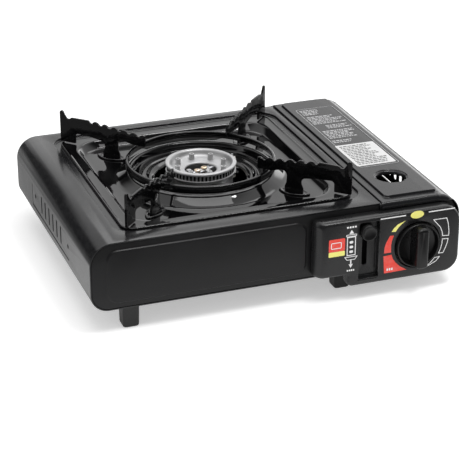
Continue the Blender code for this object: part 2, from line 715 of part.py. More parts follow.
# ================================================================ burner
def burner_base():
    """The cast bowl that feeds the burner head."""
    top = BURNER_TOP - BURNER_SKIRT_HEIGHT - GAP
    outer = BOWL_RADIUS
    inner = outer - BOWL_WALL
    section = [
        (outer * 0.62, BOWL_BOTTOM), (outer, BOWL_BOTTOM + 0.008), (outer, top), (inner, top),
        (inner, BOWL_BOTTOM + 0.009), (outer * 0.60, BOWL_BOTTOM + BOWL_WALL),
    ]
    bm = turned_mesh(section, 32, True)
    base = object_from("burner_base", bm, "aluminium", BURNER_CENTRE)
    start = mix_route()[-1]
    heading = Vector((start[0] - BURNER_CENTRE.x, start[1] - BURNER_CENTRE.y, 0.0)).normalized()
    centre = Vector((BURNER_CENTRE.x, BURNER_CENTRE.y, MIX_TUBE_HEIGHT))
    far = centre + heading * (outer + 0.004)
    near = centre + heading * (inner - 0.003)
    join(base, object_from("inlet_boss", pipe_mesh([near, far], MIX_TUBE_RADIUS, None)))
    bore_far = far + heading * 0.002
    bore_near = near - heading * 0.002
    bore = MIX_TUBE_RADIUS - MIX_TUBE_WALL
    cut(base, object_from("inlet_bore", pipe_mesh([bore_near, bore_far], bore, None)))
    return base


def burner_head():
    """The burner casting: bright rim, skirt, dish and hollow posts."""
    top = BURNER_TOP
    low = top - BURNER_SKIRT_HEIGHT
    dish = top - BURNER_DISH_DEPTH
    rim = BURNER_RADIUS
    section = [
        (rim - 0.002, low), (rim - 0.0005, low + 0.0015), (rim - 0.002, low + 0.003),
        (rim - 0.002, top - 0.003), (rim, top - 0.0018), (rim, top - 0.0005), (rim - 0.0006, top),
        (BURNER_DISH_RADIUS, top), (BURNER_DISH_RADIUS - 0.001, dish),
        (BURNER_THROAT_RADIUS, dish - 0.0006), (BURNER_THROAT_RADIUS, dish - BURNER_FLOOR),
        (BURNER_DISH_RADIUS - 0.001, dish - BURNER_FLOOR), (BURNER_DISH_RADIUS - 0.001, low),
    ]
    head = turned("burner_head", section, BURNER_CENTRE, "z", 48, False, "aluminium")
    for i in range(BURNER_POSTS):
        angle = math.radians(360.0 * i / BURNER_POSTS + POST_TURN)
        spot = BURNER_CENTRE + Vector((math.cos(angle), math.sin(angle), 0.0)) * POST_CIRCLE_RADIUS
        join(head, cylinder(f"post_{i + 1}", spot, "z", POST_RADIUS, dish - BURNER_FLOOR / 2.0, dish + POST_HEIGHT, 12))
        cut(head, cylinder(f"post_bore_{i + 1}", spot, "z", POST_RADIUS * 0.5, dish - 0.006,
                           dish + POST_HEIGHT + 0.002, 8))
    return head


def bridge_spots():
    """Where the two bridge screws stand."""
    turn = math.radians(BRIDGE_ANGLE)
    along = Vector((math.cos(turn), math.sin(turn), 0.0))
    return [BURNER_CENTRE + along * (side * BRIDGE_SCREW_SPACING / 2.0) for side in (-1.0, 1.0)]


BRIDGE_TOP = BURNER_TOP - BURNER_DISH_DEPTH - BURNER_FLOOR - GAP


def burner_bridge():
    """The strap across the throat that holds the head down."""
    half = BURNER_DISH_RADIUS - 0.001 - GAP - 0.001
    outline = rounded_rect(-half, half, -BRIDGE_WIDTH / 2.0, BRIDGE_WIDTH / 2.0, 0.002, 3)
    strap = prism("burner_bridge", outline, "xy", BRIDGE_TOP - BRIDGE_SHEET, BRIDGE_TOP, "zinc_steel")
    strap.location = BURNER_CENTRE
    strap.rotation_euler = (0.0, 0.0, math.radians(BRIDGE_ANGLE))
    for i, spot in enumerate(bridge_spots()):
        cut(strap, cylinder(f"bridge_hole_{i + 1}", spot, "z", SCREW_RADIUS + GAP, BRIDGE_TOP - 0.004,
                            BRIDGE_TOP + 0.002, 12))
    return strap


def bridge_screw(index, spot):
    top = BRIDGE_TOP + GAP
    profile = [(SCREW_RADIUS, BOWL_BOTTOM + BOWL_WALL + GAP), (SCREW_RADIUS, top), (SCREW_HEAD_RADIUS, top),
               (SCREW_HEAD_RADIUS, top + 0.0012), (SCREW_HEAD_RADIUS - 0.0008, top + 0.0018)]
    return turned(f"bridge_screw_{index}", profile, spot, "z", 16, True, "brass")


def mix_route():
    """The mixing tube's centre line, from the jet to the bowl."""
    end = Vector((0.66, -0.75, 0.0)).normalized() * (BOWL_RADIUS + 0.004 + GAP)
    finish = Vector((BURNER_CENTRE.x, BURNER_CENTRE.y, MIX_TUBE_HEIGHT)) + end
    heading = end.normalized()
    start = Vector((PARTITION_X - 0.010, MIX_ENTRY_Y, MIX_ENTRY_Z))
    return [
        start,
        start + Vector((-0.012, 0.0, 0.0)),
        start + Vector((-0.030, 0.0005, 0.004)),
        start + Vector((-0.046, 0.006, 0.011)),
        finish + heading * 0.024 + Vector((0.0, 0.0, -0.0015)),
        finish + heading * 0.010,
        finish,
    ]


def mixing_tube():
    return object_from("mixing_tube", pipe_mesh(mix_route(), MIX_TUBE_RADIUS, MIX_TUBE_WALL), "aluminium")


def burner_bracket():
    """The bent strap that carries the bowl above the floor."""
    half = BRACKET_SPAN / 2.0
    low = FLOOR_TOP + GAP
    high = BOWL_BOTTOM - GAP
    foot = 0.012
    outer = [(-half - foot, low), (-half - foot, low + SHEET), (-half, low + SHEET), (-half, high),
             (half, high), (half, low + SHEET), (half + foot, low + SHEET), (half + foot, low),
             (half - SHEET, low), (half - SHEET, high - SHEET), (-half + SHEET, high - SHEET),
             (-half + SHEET, low)]
    bracket = prism("burner_bracket", outer, "xz", -BRACKET_WIDTH / 2.0, BRACKET_WIDTH / 2.0, "zinc_steel")
    bracket.location = BURNER_CENTRE
    return bracket


# ================================================================ ignition
ELECTRODE_SPOT = BURNER_CENTRE + Vector((0.0356, 0.0110, 0.0))
ELECTRODE_BOTTOM = 0.066
ELECTRODE_TOP = 0.0855
LEAD_RADIUS = 0.0013
LEAD_WALL_Y = FRONT_Y + 0.0535
LEAD_WALL_Z = 0.0310
PIEZO_LEFT = KNOB_X + REGULATOR_WIDTH / 2.0 + 0.0008
PIEZO_WIDTH = 0.009
PIEZO_DEPTH = 0.022
PIEZO_Z = 0.0500


def electrode_insulator():
    profile = [(0.0028, ELECTRODE_BOTTOM), (0.0028, ELECTRODE_TOP - 0.002), (0.0022, ELECTRODE_TOP)]
    body = turned("electrode_insulator", profile, ELECTRODE_SPOT, "z", 16, True, "ceramic")
    cut(body, cylinder("insulator_bore", ELECTRODE_SPOT, "z", 0.0009 + GAP, ELECTRODE_BOTTOM - 0.001,
                       ELECTRODE_TOP + 0.001, 10))
    return body


def electrode_wire():
    """The spark wire, bent over towards the burner rim."""
    x, y = ELECTRODE_SPOT.x, ELECTRODE_SPOT.y
    top = ELECTRODE_TOP + 0.0025
    towards = (BURNER_CENTRE - ELECTRODE_SPOT).normalized() * 0.0022
    route = [(x, y, ELECTRODE_BOTTOM - 0.002), (x, y, top - 0.001),
             (x + towards.x * 0.3, y + towards.y * 0.3, top), (x + towards.x, y + towards.y, top + 0.0006)]
    return object_from("electrode_wire", pipe_mesh(route, 0.0009, None, 8), "zinc_steel")


def electrode_bracket():
    """A small shelf from the bowl bracket that grips the insulator."""
    z = ELECTRODE_BOTTOM + 0.004
    x0 = BURNER_CENTRE.x + BOWL_RADIUS + GAP
    x1 = ELECTRODE_SPOT.x + 0.0055
    y = ELECTRODE_SPOT.y
    shelf = prism("electrode_bracket", rounded_rect(x0, x1, y - 0.0045, y + 0.0045, 0.002, 3), "xy",
                  z, z + SHEET, "zinc_steel")
    cut(shelf, cylinder("shelf_hole", ELECTRODE_SPOT, "z", 0.0028 + GAP, z - 0.001, z + 0.003, 16))
    return shelf


def ignition_lead():
    """The lead from the piezo unit to the spark wire."""
    start_y = REGULATOR_FRONT_Y + PIEZO_DEPTH + GAP
    piezo_x = PIEZO_LEFT + PIEZO_WIDTH / 2.0
    x, y = ELECTRODE_SPOT.x, ELECTRODE_SPOT.y
    route = [
        (piezo_x, start_y, PIEZO_Z),
        (piezo_x, start_y + 0.007, PIEZO_Z - 0.002),
        (piezo_x, LEAD_WALL_Y - 0.004, PIEZO_Z - 0.010),
        (piezo_x - 0.002, LEAD_WALL_Y, LEAD_WALL_Z + 0.003),
        (piezo_x - 0.008, LEAD_WALL_Y, LEAD_WALL_Z),
        (PARTITION_X + 0.012, LEAD_WALL_Y, LEAD_WALL_Z),
        (PARTITION_X - 0.008, LEAD_WALL_Y, LEAD_WALL_Z),
        (PARTITION_X - 0.030, LEAD_WALL_Y + 0.014, LEAD_WALL_Z + 0.001),
        (x + 0.020, y - 0.030, LEAD_WALL_Z + 0.006),
        (x + 0.004, y - 0.006, 0.046),
        (x, y, 0.056),
        (x, y, ELECTRODE_BOTTOM - 0.002 - GAP),
    ]
    return object_from("ignition_lead", pipe_mesh(route, LEAD_RADIUS, None, 8), "red_cable")


def piezo_igniter():
    """The striker unit, worked by the valve cam."""
    outline = rounded_rect(PIEZO_LEFT, PIEZO_LEFT + PIEZO_WIDTH, PIEZO_Z - 0.010, PIEZO_Z + 0.010, 0.003, 3)
    return prism("piezo_igniter", outline, "xz", REGULATOR_FRONT_Y, REGULATOR_FRONT_Y + PIEZO_DEPTH,
                 "black_plastic")


# ================================================================ regulator
def regulator_screw_places():
    reach = REGULATOR_SCREW_REACH
    return [(KNOB_X - reach, KNOB_Z + 0.012), (KNOB_X + reach, KNOB_Z - 0.012)]


def regulator_body():
    """The die-cast regulator with the valve, and the socket for the cartridge."""
    x0 = KNOB_X - REGULATOR_WIDTH / 2.0
    x1 = KNOB_X + REGULATOR_WIDTH / 2.0
    z0 = KNOB_Z - REGULATOR_HEIGHT / 2.0
    z1 = KNOB_Z + REGULATOR_HEIGHT / 2.0
    body = prism("regulator_body", rounded_rect(x0, x1, z0, z1, 0.004, 3), "xz", REGULATOR_FRONT_Y,
                 REGULATOR_BACK_Y, "grey_diecast")
    nose = (KNOB_X, 0.0, KNOB_Z)
    join(body, cylinder("stem_boss", nose, "-y", 0.0075, -REGULATOR_FRONT_Y - 0.002,
                        -FRONT_Y - SHEET - 0.0030, 24))
    join(body, cylinder("cartridge_socket", (CARTRIDGE_X, 0.0, CARTRIDGE_Z), "-y", 0.0155, -RECEPTACLE_Y,
                        -REGULATOR_BACK_Y + 0.004, 28))
    cut(body, cylinder("collar_seat", (CARTRIDGE_X, 0.0, CARTRIDGE_Z), "-y", 0.0125, -RECEPTACLE_Y - 0.002,
                       -RECEPTACLE_Y + 0.008, 28))
    cut(body, cylinder("stem_bore", nose, "-y", STEM_RADIUS + GAP, -REGULATOR_FRONT_Y - 0.016,
                       -FRONT_Y + 0.002, 20))
    for i, (x, z) in enumerate(regulator_screw_places()):
        join(body, cylinder(f"screw_post_{i + 1}", (x, 0.0, z), "-y", 0.0035, -REGULATOR_FRONT_Y - 0.002,
                            -FRONT_Y - SHEET - GAP + 0.0000, 16))
        cut(body, cylinder(f"screw_bore_{i + 1}", (x, 0.0, z), "-y", SCREW_RADIUS + GAP,
                           -REGULATOR_FRONT_Y - 0.006, -FRONT_Y + 0.001, 12))
    cut(body, cylinder("jet_bore", (0.0, MIX_ENTRY_Y, MIX_ENTRY_Z), "x", JET_RADIUS - 0.0010 + GAP, x0 - 0.001,
                       x0 + 0.006, 16))
    return body


def gas_jet():
    """The brass jet, pointing through the partition into the mixing tube."""
    x0 = KNOB_X - REGULATOR_WIDTH / 2.0
    screw_in = x0 + 0.005
    tip = PARTITION_X - 0.006
    profile = [(0.0010, tip), (0.0022, tip + 0.001), (0.0022, tip + 0.008), (JET_RADIUS, tip + 0.008),
               (JET_RADIUS, x0 - GAP), (JET_RADIUS - 0.0010, x0 - GAP), (JET_RADIUS - 0.0010, screw_in)]
    return turned("gas_jet", profile, (0.0, MIX_ENTRY_Y, MIX_ENTRY_Z), "x", 16, True, "brass")


def valve_stem():
    """The stem that the knob turns; its origin is on the knob's axis."""
    start = -(REGULATOR_FRONT_Y + 0.014)
    end = -PANEL_FACE_Y
    return cylinder("valve_stem", (KNOB_X, 0.0, KNOB_Z), "-y", STEM_RADIUS, start, end, 16, "brass")


def screw(name, x, z, seat_y, length, finish="zinc_steel"):
    """A round-headed screw driven in along +Y, its head seated at seat_y."""
    seat = -seat_y + GAP
    profile = [(SCREW_RADIUS, seat - length), (SCREW_RADIUS, seat), (SCREW_HEAD_RADIUS, seat),
               (SCREW_HEAD_RADIUS, seat + 0.0010), (SCREW_HEAD_RADIUS - 0.001, seat + SCREW_HEAD_HEIGHT)]
    return turned(name, profile, (x, 0.0, z), "-y", 14, True, finish)


# ================================================================ control panel
def panel_outline(inset):
    """The outline of the control panel, moved in by a wall."""
    left = PANEL_LEFT + inset
    right = PANEL_RIGHT - inset
    top = PANEL_TOP - inset
    low = PANEL_BOTTOM + inset
    step_z = PANEL_LEFT_BOTTOM + inset
    step_x = PANEL_STEP_X + inset
    corner = 0.015 - inset
    shoulder = 0.017 - inset
    small = 0.004 - inset
    points = [(left + small, step_z), (step_x, step_z), (step_x, low + 0.002), (step_x + 0.002, low)]
    points += arc(right - corner, low + corner, corner, -90.0, 0.0, 5)
    points += arc(right - shoulder, top - shoulder, shoulder, 0.0, 90.0, 5)
    points += arc(left + small, top - small, small, 90.0, 180.0, 3)
    points += arc(left + small, step_z + small, small, 180.0, 250.0, 2)
    return points


def panel_screw_places():
    return [(PANEL_LEFT + 0.0085, PANEL_TOP - 0.010), (RECESS_LEFT - 0.0065, PANEL_BOTTOM + 0.0165),
            (PANEL_RIGHT - 0.010, PANEL_TOP - 0.022)]


def control_panel():
    """The plastic panel: a tray open to the back, with two wells in its face."""
    back = FRONT_Y - GAP
    loops = [
        [Vector((x, back, z)) for x, z in panel_outline(0.0)],
        [Vector((x, PANEL_FACE_Y + 0.003, z)) for x, z in panel_outline(0.0)],
        [Vector((x, PANEL_FACE_Y + 0.0008, z)) for x, z in panel_outline(0.0009)],
        [Vector((x, PANEL_FACE_Y, z)) for x, z in panel_outline(0.0026)],
    ]
    bm = loft(loops, close_end=True)
    bm.verts.ensure_lookup_table()
    bm.faces.new([bm.verts[i] for i in range(len(loops[0]))])
    panel = object_from("control_panel", bm, "black_plastic")
    hollow = prism("panel_hollow", panel_outline(PANEL_WALL), "xz", PANEL_FACE_Y + PANEL_WALL, FRONT_Y + 0.002)
    cut(panel, hollow)
    wall = PANEL_WALL * 0.8
    join(panel, box("lever_well", RECESS_LEFT - wall, RECESS_RIGHT + wall, PANEL_FACE_Y + PANEL_WALL * 0.5,
                    RECESS_FLOOR_Y + wall, RECESS_BOTTOM - wall, RECESS_TOP + wall * 0.9))
    join(panel, cylinder("knob_well", (KNOB_X, 0.0, KNOB_Z), "-y", KNOB_WELL_RADIUS + wall,
                         -PANEL_FACE_Y - KNOB_WELL_DEPTH - wall, -PANEL_FACE_Y - PANEL_WALL * 0.5, 40))
    cut(panel, prism("lever_recess", rounded_rect(RECESS_LEFT, RECESS_RIGHT, RECESS_BOTTOM, RECESS_TOP, 0.001, 2),
                     "xz", PANEL_FACE_Y - 0.002, RECESS_FLOOR_Y))
    cut(panel, cylinder("knob_recess", (KNOB_X, 0.0, KNOB_Z), "-y", KNOB_WELL_RADIUS,
                        -PANEL_FACE_Y - KNOB_WELL_DEPTH, -PANEL_FACE_Y + 0.002, 40))
    cut(panel, cylinder("panel_stem_hole", (KNOB_X, 0.0, KNOB_Z), "-y", STEM_RADIUS + 0.001,
                        -PANEL_FACE_Y - 0.012, -PANEL_FACE_Y + 0.002, 20))
    slot = rounded_rect(SLOT_X - SLOT_WIDTH / 2.0, SLOT_X + SLOT_WIDTH / 2.0,
                        SLOT_TOP - SLOT_LENGTH, SLOT_TOP, 0.002, 3)
    cut(panel, prism("lever_slot", slot, "xz", PANEL_FACE_Y, FRONT_Y))
    cut(panel, cylinder("pin_relief", (HINGE_X, 0.0, HINGE_Z), "-y", PIN_HEAD_RADIUS + 0.0006,
                        -FRONT_Y - 0.001, -FRONT_Y + 0.0022, 16))
    for i, (x, z) in enumerate(panel_screw_places()):
        join(panel, cylinder(f"panel_boss_{i + 1}", (x, 0.0, z), "-y", 0.0034, -FRONT_Y + GAP,
                             -PANEL_FACE_Y - PANEL_WALL * 0.5, 16))
        cut(panel, cylinder(f"panel_boss_bore_{i + 1}", (x, 0.0, z), "-y", SCREW_RADIUS + GAP,
                            -FRONT_Y - 0.001, -FRONT_Y + 0.0085, 12))
    return panel


def panel_screw(index, x, z):
    """A screw from inside the front plate into a boss of the panel."""
    seat = -(FRONT_Y + SHEET + GAP)
    profile = [(SCREW_HEAD_RADIUS - 0.001, seat - SCREW_HEAD_HEIGHT), (SCREW_HEAD_RADIUS, seat - 0.0010),
               (SCREW_HEAD_RADIUS, seat), (SCREW_RADIUS, seat), (SCREW_RADIUS, -FRONT_Y + 0.0075)]
    return turned(f"panel_screw_{index}", profile, (x, 0.0, z), "-y", 14, True, "zinc_steel")


def control_knob():
    """The gas knob: a disc with a tall grip, its origin on the valve axis."""
    back = KNOB_WELL_DEPTH - GAP
    face = back - KNOB_DISC
    profile = [(KNOB_RADIUS, -back), (KNOB_RADIUS, -face - 0.001), (KNOB_RADIUS - 0.001, -face)]
    knob = turned("control_knob", profile, (KNOB_X, PANEL_FACE_Y, KNOB_Z), "-y", 40, True, "black_plastic")
    half = KNOB_GRIP_LENGTH / 2.0
    grip = rounded_rect(-KNOB_GRIP_WIDTH / 2.0, KNOB_GRIP_WIDTH / 2.0, -half, half, 0.0035, 4)
    bar = prism("knob_grip", grip, "xz", -KNOB_GRIP_PROUD, face + 0.003)
    bar.location = (KNOB_X, PANEL_FACE_Y, KNOB_Z)
    join(knob, bar)
    cut(knob, cylinder("knob_bore", (KNOB_X, PANEL_FACE_Y, KNOB_Z), "-y", STEM_RADIUS + GAP,
                       -back - 0.002, GAP, 16))
    return knob


def lock_lever():
    """The thumb piece of the cartridge lock, standing in the slot."""
    disc_back = RECESS_FLOOR_Y - GAP
    disc_front = PANEL_FACE_Y - LEVER_PROUD + 0.002
    z = LEVER_TOP_Z
    profile = [(LEVER_RADIUS, -disc_back), (LEVER_RADIUS, -disc_front - 0.001), (LEVER_RADIUS - 0.001, -disc_front)]
    lever = turned("lock_lever", profile, (SLOT_X, 0.0, z), "-y", 28, True, "black_plastic")
    half = SLOT_WIDTH / 2.0 - GAP
    neck = box("lever_neck", -half, half, RECESS_FLOOR_Y - 0.003, FRONT_Y + 0.0035, -0.003, 0.003)
    neck.location = (SLOT_X, 0.0, z)
    join(lever, neck)
    return lever


def lever_slide():
    """The steel cam plate behind the lever, with a sloping slot for the follower."""
    front = FRONT_Y + 0.0035 + GAP
    rear = FOLLOWER_Y + 0.008
    low = FOLLOWER_Z - FOLLOWER_RADIUS - GAP - CAM_EDGE
    high = FOLLOWER_Z + LEVER_TRAVEL + FOLLOWER_RADIUS + GAP + CAM_EDGE
    plate = box("lever_slide", LINK_X, LINK_X + SHEET, front, rear, low, high, "zinc_steel")
    half = SLOT_WIDTH / 2.0
    join(plate, box("slide_foot", SLOT_X - half, LINK_X + SHEET / 2.0, front, front + SHEET * 1.5,
                    LEVER_TOP_Z - 0.004, LEVER_TOP_Z + 0.004))
    clear = FOLLOWER_RADIUS + GAP
    top_y = FOLLOWER_Y - CARRIAGE_TRAVEL
    slot = [(FOLLOWER_Y - clear, FOLLOWER_Z - clear), (FOLLOWER_Y + clear, FOLLOWER_Z - clear),
            (FOLLOWER_Y + clear, FOLLOWER_Z), (top_y + clear, FOLLOWER_Z + LEVER_TRAVEL),
            (top_y + clear, FOLLOWER_Z + LEVER_TRAVEL + clear), (top_y - clear, FOLLOWER_Z + LEVER_TRAVEL + clear),
            (top_y - clear, FOLLOWER_Z + LEVER_TRAVEL), (FOLLOWER_Y - clear, FOLLOWER_Z)]
    cut(plate, prism("cam_slot", slot, "yz", LINK_X - 0.001, LINK_X + 0.002))
    return plate


RIVET_Z = 0.040
RIVET_RADIUS = 0.0015
RIVET_FROM_PUSHER = 0.044


def rivet_places():
    return [FRONT_Y + 0.085, PUSHER_Y - RIVET_FROM_PUSHER]


def cartridge_carriage():
    """The sliding strip whose rear plate pushes the cartridge into the socket."""
    x0 = STRIP_X
    x1 = STRIP_X + STRIP_SHEET
    low = RIVET_Z - 0.007
    high = RIVET_Z + 0.007
    front = FOLLOWER_Y - 0.006
    strip = box("cartridge_carriage", x0, x1, front, PUSHER_Y + STRIP_SHEET, low, high, "zinc_steel")
    join(strip, box("follower_tab", x0, x1, front, FOLLOWER_Y + 0.006, RIVET_Z, FOLLOWER_Z + 0.0045))
    join(strip, box("pusher_plate", x0 + STRIP_SHEET / 2.0, CARTRIDGE_X + 0.018, PUSHER_Y,
                    PUSHER_Y + STRIP_SHEET, RIVET_Z - 0.004, CARTRIDGE_Z + 0.016))
    join(strip, cylinder("follower_pin", (0.0, FOLLOWER_Y, FOLLOWER_Z), "x", FOLLOWER_RADIUS,
                         LINK_X - 0.0015, x1 - STRIP_SHEET / 2.0, 16))
    for i, y in enumerate(rivet_places()):
        slot = rounded_rect(y - RIVET_RADIUS - 0.0005, y + CARRIAGE_TRAVEL + RIVET_RADIUS + 0.0005,
                            RIVET_Z - RIVET_RADIUS - GAP, RIVET_Z + RIVET_RADIUS + GAP, 0.0015, 3)
        cut(strip, prism(f"strip_slot_{i + 1}", slot, "yz", x0 - 0.001, x1 + 0.001))
    return strip


def carriage_rivet(index, y):
    """A shouldered rivet in the partition that guides the strip."""
    head = STRIP_X + STRIP_SHEET + GAP
    tail = PARTITION_X - GAP
    profile = [(0.003, tail - 0.001), (0.003, tail), (RIVET_RADIUS, tail), (RIVET_RADIUS, head), (0.0036, head),
               (0.0030, head + 0.001)]
    return turned(f"carriage_rivet_{index}", profile, (0.0, y, RIVET_Z), "x", 16, True, "zinc_steel")


# ================================================================ lid
def lid_path(inset):
    """The lid's section: a raised top, the rounded shoulder and the side skirt."""
    edge = BODY_TOP + LID_EDGE_RISE - inset
    top = LID_TOP - inset
    right = HALF_WIDTH - inset
    radius = TOP_CORNER_RADIUS - inset
    slope = 0.0018
    points = [(LID_LEFT + inset, edge + inset - LID_LEFT_FLANGE), (LID_LEFT + inset, edge)]
    points += [(LID_PANEL_LEFT, edge), (LID_PANEL_LEFT + slope, top)]
    points += [(LID_PANEL_RIGHT - slope, top)]
    shoulder = arc(HALF_WIDTH - TOP_CORNER_RADIUS, BODY_TOP - TOP_CORNER_RADIUS, radius, 78.0, 0.0, 8)
    points += shoulder
    points.append((right, LID_SKIRT_BOTTOM))
    return points


def gas_lid():
    """The hinged cover of the gas bay; its origin is on the hinge axis."""
    hinge = Vector((HINGE_X, MID_Y, HINGE_Z))
    y0 = FRONT_Y - LID_OVERHANG
    y1 = BACK_Y + LID_OVERHANG
    bm = prism_mesh(lid_path(0.0) + lid_path(SHEET)[::-1], "xz", y0, y1)
    bm.transform(Matrix.Translation(-hinge))
    lid = object_from("gas_lid", bm, "painted_steel", hinge)
    flange_low = LID_TOP - LID_PANEL_RISE - LID_FLANGE_DROP
    skin = [point for point in lid_path(SHEET / 2.0) if point[1] > flange_low]
    flange = [(LID_LEFT + SHEET / 2.0, flange_low)] + skin
    flange.append((HALF_WIDTH - TOP_CORNER_RADIUS * 0.30, flange_low))
    for label, start in (("front", y0), ("back", y1 - SHEET)):
        join(lid, prism(f"lid_flange_{label}", flange, "xz", start, start + SHEET))
    edge_low = BODY_TOP - LID_LEFT_FLANGE
    for label, a, b in (("front", y0 + SHEET + GAP, FRONT_Y + 0.004), ("back", BACK_Y - 0.004, y1 - SHEET - GAP)):
        cut(lid, box(f"edge_notch_{label}", LID_LEFT - 0.002, LID_LEFT + SHEET + GAP, a, b, edge_low - 0.002,
                     BODY_TOP - GAP))
    notch_top = HINGE_Z + 0.007
    for label, a, b in (("front", y0 - 0.002, FRONT_Y + 0.0015), ("back", BACK_Y - 0.0015, y1 + 0.002)):
        cut(lid, box(f"skirt_notch_{label}", HALF_WIDTH - 0.004, HALF_WIDTH + 0.002, a, b,
                     LID_SKIRT_BOTTOM - 0.002, notch_top))
    ear = rounded_rect(HINGE_X - 0.005, HALF_WIDTH - SHEET / 2.0, HINGE_Z - 0.005, HINGE_Z + 0.009, 0.003, 3)
    for label, start in (("front", FRONT_Y + 0.0030), ("back", BACK_Y - 0.0030 - EAR_SHEET)):
        join(lid, prism(f"lid_ear_{label}", ear, "xz", start, start + EAR_SHEET))
        cut(lid, cylinder(f"ear_hole_{label}", (HINGE_X, 0.0, HINGE_Z), "-y", HINGE_PIN_RADIUS + GAP,
                          -start - EAR_SHEET - 0.001, -start + 0.001, 16))
    cut(lid, cylinder("lid_hole", (LID_HOLE_X, FRONT_Y + LID_HOLE_FROM_FRONT, 0.0), "z", LID_HOLE_RADIUS,
                      LID_TOP - 0.006, LID_TOP + 0.004, 32))
    for cutter in vent_row("lid_vent", MID_Y + 0.004, VENT_COUNT, LID_VENT_PITCH, LID_VENT_WIDTH, VENT_BOTTOM,
                           VENT_TOP, HALF_WIDTH - 0.004, HALF_WIDTH + 0.004):
        cut(lid, cutter)
    return lid


def hinge_pin(label, face_y, inward):
    """A rivet in an end plate that the lid's ear turns on."""
    head = face_y - inward * GAP
    reach = face_y + inward * (0.0030 + EAR_SHEET + 0.002)
    profile = [(PIN_HEAD_RADIUS, -(head - inward * 0.001)), (PIN_HEAD_RADIUS, -head),
               (HINGE_PIN_RADIUS, -head), (HINGE_PIN_RADIUS, -reach)]
    if inward > 0.0:
        profile = profile[::-1]
    return turned(f"lid_hinge_pin_{label}", profile, (HINGE_X, 0.0, HINGE_Z), "-y", 16, True, "zinc_steel")


# ================================================================ feet
def foot_places():
    """Centres of the four feet."""
    left = -HALF_WIDTH + FOOT_SIDE_INSET
    return {
        "fl": (left, FRONT_Y + FOOT_FRONT_INSET),
        "fr": (FOOT_RIGHT_X, FRONT_Y + FOOT_RIGHT_FRONT_INSET),
        "bl": (left, BACK_Y - FOOT_REAR_INSET),
        "br": (FOOT_RIGHT_X, BACK_Y - FOOT_REAR_INSET),
    }


def foot(key, x, y):
    """A square foot with a rounded sole and a collar under the floor."""
    half = FOOT_SIZE / 2.0
    collar = FOOT_COLLAR / 2.0
    top = BODY_UNDERSIDE - GAP
    neck = top - FOOT_COLLAR_HEIGHT
    levels = [(half - 0.0018, 0.0), (half - 0.0005, 0.0010), (half, 0.0030), (half, neck), (collar, neck),
              (collar, top)]
    loops = []
    for reach, height in levels:
        loops.append([Vector((a, b, height)) for a, b in rounded_rect(-reach, reach, -reach, reach, 0.002, 2)])
    bm = loft(loops, close_end=True)
    bm.verts.ensure_lookup_table()
    bm.faces.new([bm.verts[i] for i in range(len(loops[0]))])
    block = object_from(f"foot_{key}", bm, "rubber", (x, y, 0.0))
    cut(block, turned(f"foot_bore_{key}", [(SCREW_HEAD_RADIUS + GAP, -0.001), (SCREW_HEAD_RADIUS + GAP, 0.008),
                                           (SCREW_RADIUS + GAP, 0.008), (SCREW_RADIUS + GAP, top + 0.001)],
                      (x, y, 0.0), "z", 16))
    return block


def foot_screw(key, x, y):
    """The screw up through a foot into the floor."""
    seat = 0.008 - GAP
    profile = [(SCREW_HEAD_RADIUS - 0.0008, seat - SCREW_HEAD_HEIGHT), (SCREW_HEAD_RADIUS, seat - 0.0010),
               (SCREW_HEAD_RADIUS, seat), (SCREW_RADIUS, seat), (SCREW_RADIUS, FLOOR_TOP + 0.003)]
    return turned(f"foot_screw_{key}", profile, (x, y, 0.0), "z", 14, True, "zinc_steel")


# ================================================================ the stove
def build_body():
    body_shell()
    front_panel()
    back_panel()
    partition_wall()
    cartridge_cradle()
    for key, (x, y) in foot_places().items():
        foot(key, x, y)
        foot_screw(key, x, y)


def build_pan_support():
    drip_tray()
    trivet_ring()
    for key in ARM_ANGLES:
        trivet_arm(key)


def build_burner():
    burner_base()
    burner_head()
    burner_bridge()
    for index, spot in enumerate(bridge_spots(), start=1):
        bridge_screw(index, spot)
    mixing_tube()
    burner_bracket()
    electrode_insulator()
    electrode_wire()
    electrode_bracket()
    ignition_lead()


def build_gas_side():
    regulator_body()
    for index, (x, z) in enumerate(regulator_screw_places(), start=1):
        screw(f"regulator_screw_{index}", x, z, FRONT_Y, 0.012)
    gas_jet()
    valve_stem()
    piezo_igniter()
    lever_slide()
    cartridge_carriage()
    for index, y in enumerate(rivet_places(), start=1):
        carriage_rivet(index, y)
    gas_lid()
    hinge_pin("front", FRONT_Y, 1.0)
    hinge_pin("back", BACK_Y, -1.0)


def build_controls():
    control_panel()
    for index, (x, z) in enumerate(panel_screw_places(), start=1):
        panel_screw(index, x, z)
    control_knob()
    lock_lever()


def main():
    clear_scene()
    build_body()
    build_pan_support()
    build_burner()
    build_gas_side()
    build_controls()


main()
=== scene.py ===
"""Finished surfaces of a portable cassette stove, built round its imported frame.

Sizes are in metres, +Z is up, and the stove looks towards -Y.
"""

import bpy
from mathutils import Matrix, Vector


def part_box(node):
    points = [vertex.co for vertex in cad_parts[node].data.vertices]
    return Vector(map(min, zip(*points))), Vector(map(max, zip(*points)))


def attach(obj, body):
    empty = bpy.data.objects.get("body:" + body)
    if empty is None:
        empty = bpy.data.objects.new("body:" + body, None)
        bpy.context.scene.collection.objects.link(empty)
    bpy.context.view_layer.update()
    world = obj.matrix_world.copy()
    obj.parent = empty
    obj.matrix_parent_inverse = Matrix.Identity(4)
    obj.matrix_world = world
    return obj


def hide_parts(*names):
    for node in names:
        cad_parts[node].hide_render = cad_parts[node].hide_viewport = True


bl_info = {
    "name": "Cassette Stove Surfaces",
    "version": (1, 0, 0),
    "blender": (4, 5, 0),
    "location": "3D View > Sidebar > Stove",
    "description": "Builds the painted, enamelled, cast and moulded surfaces of a cassette stove",
    "category": "Object",
}

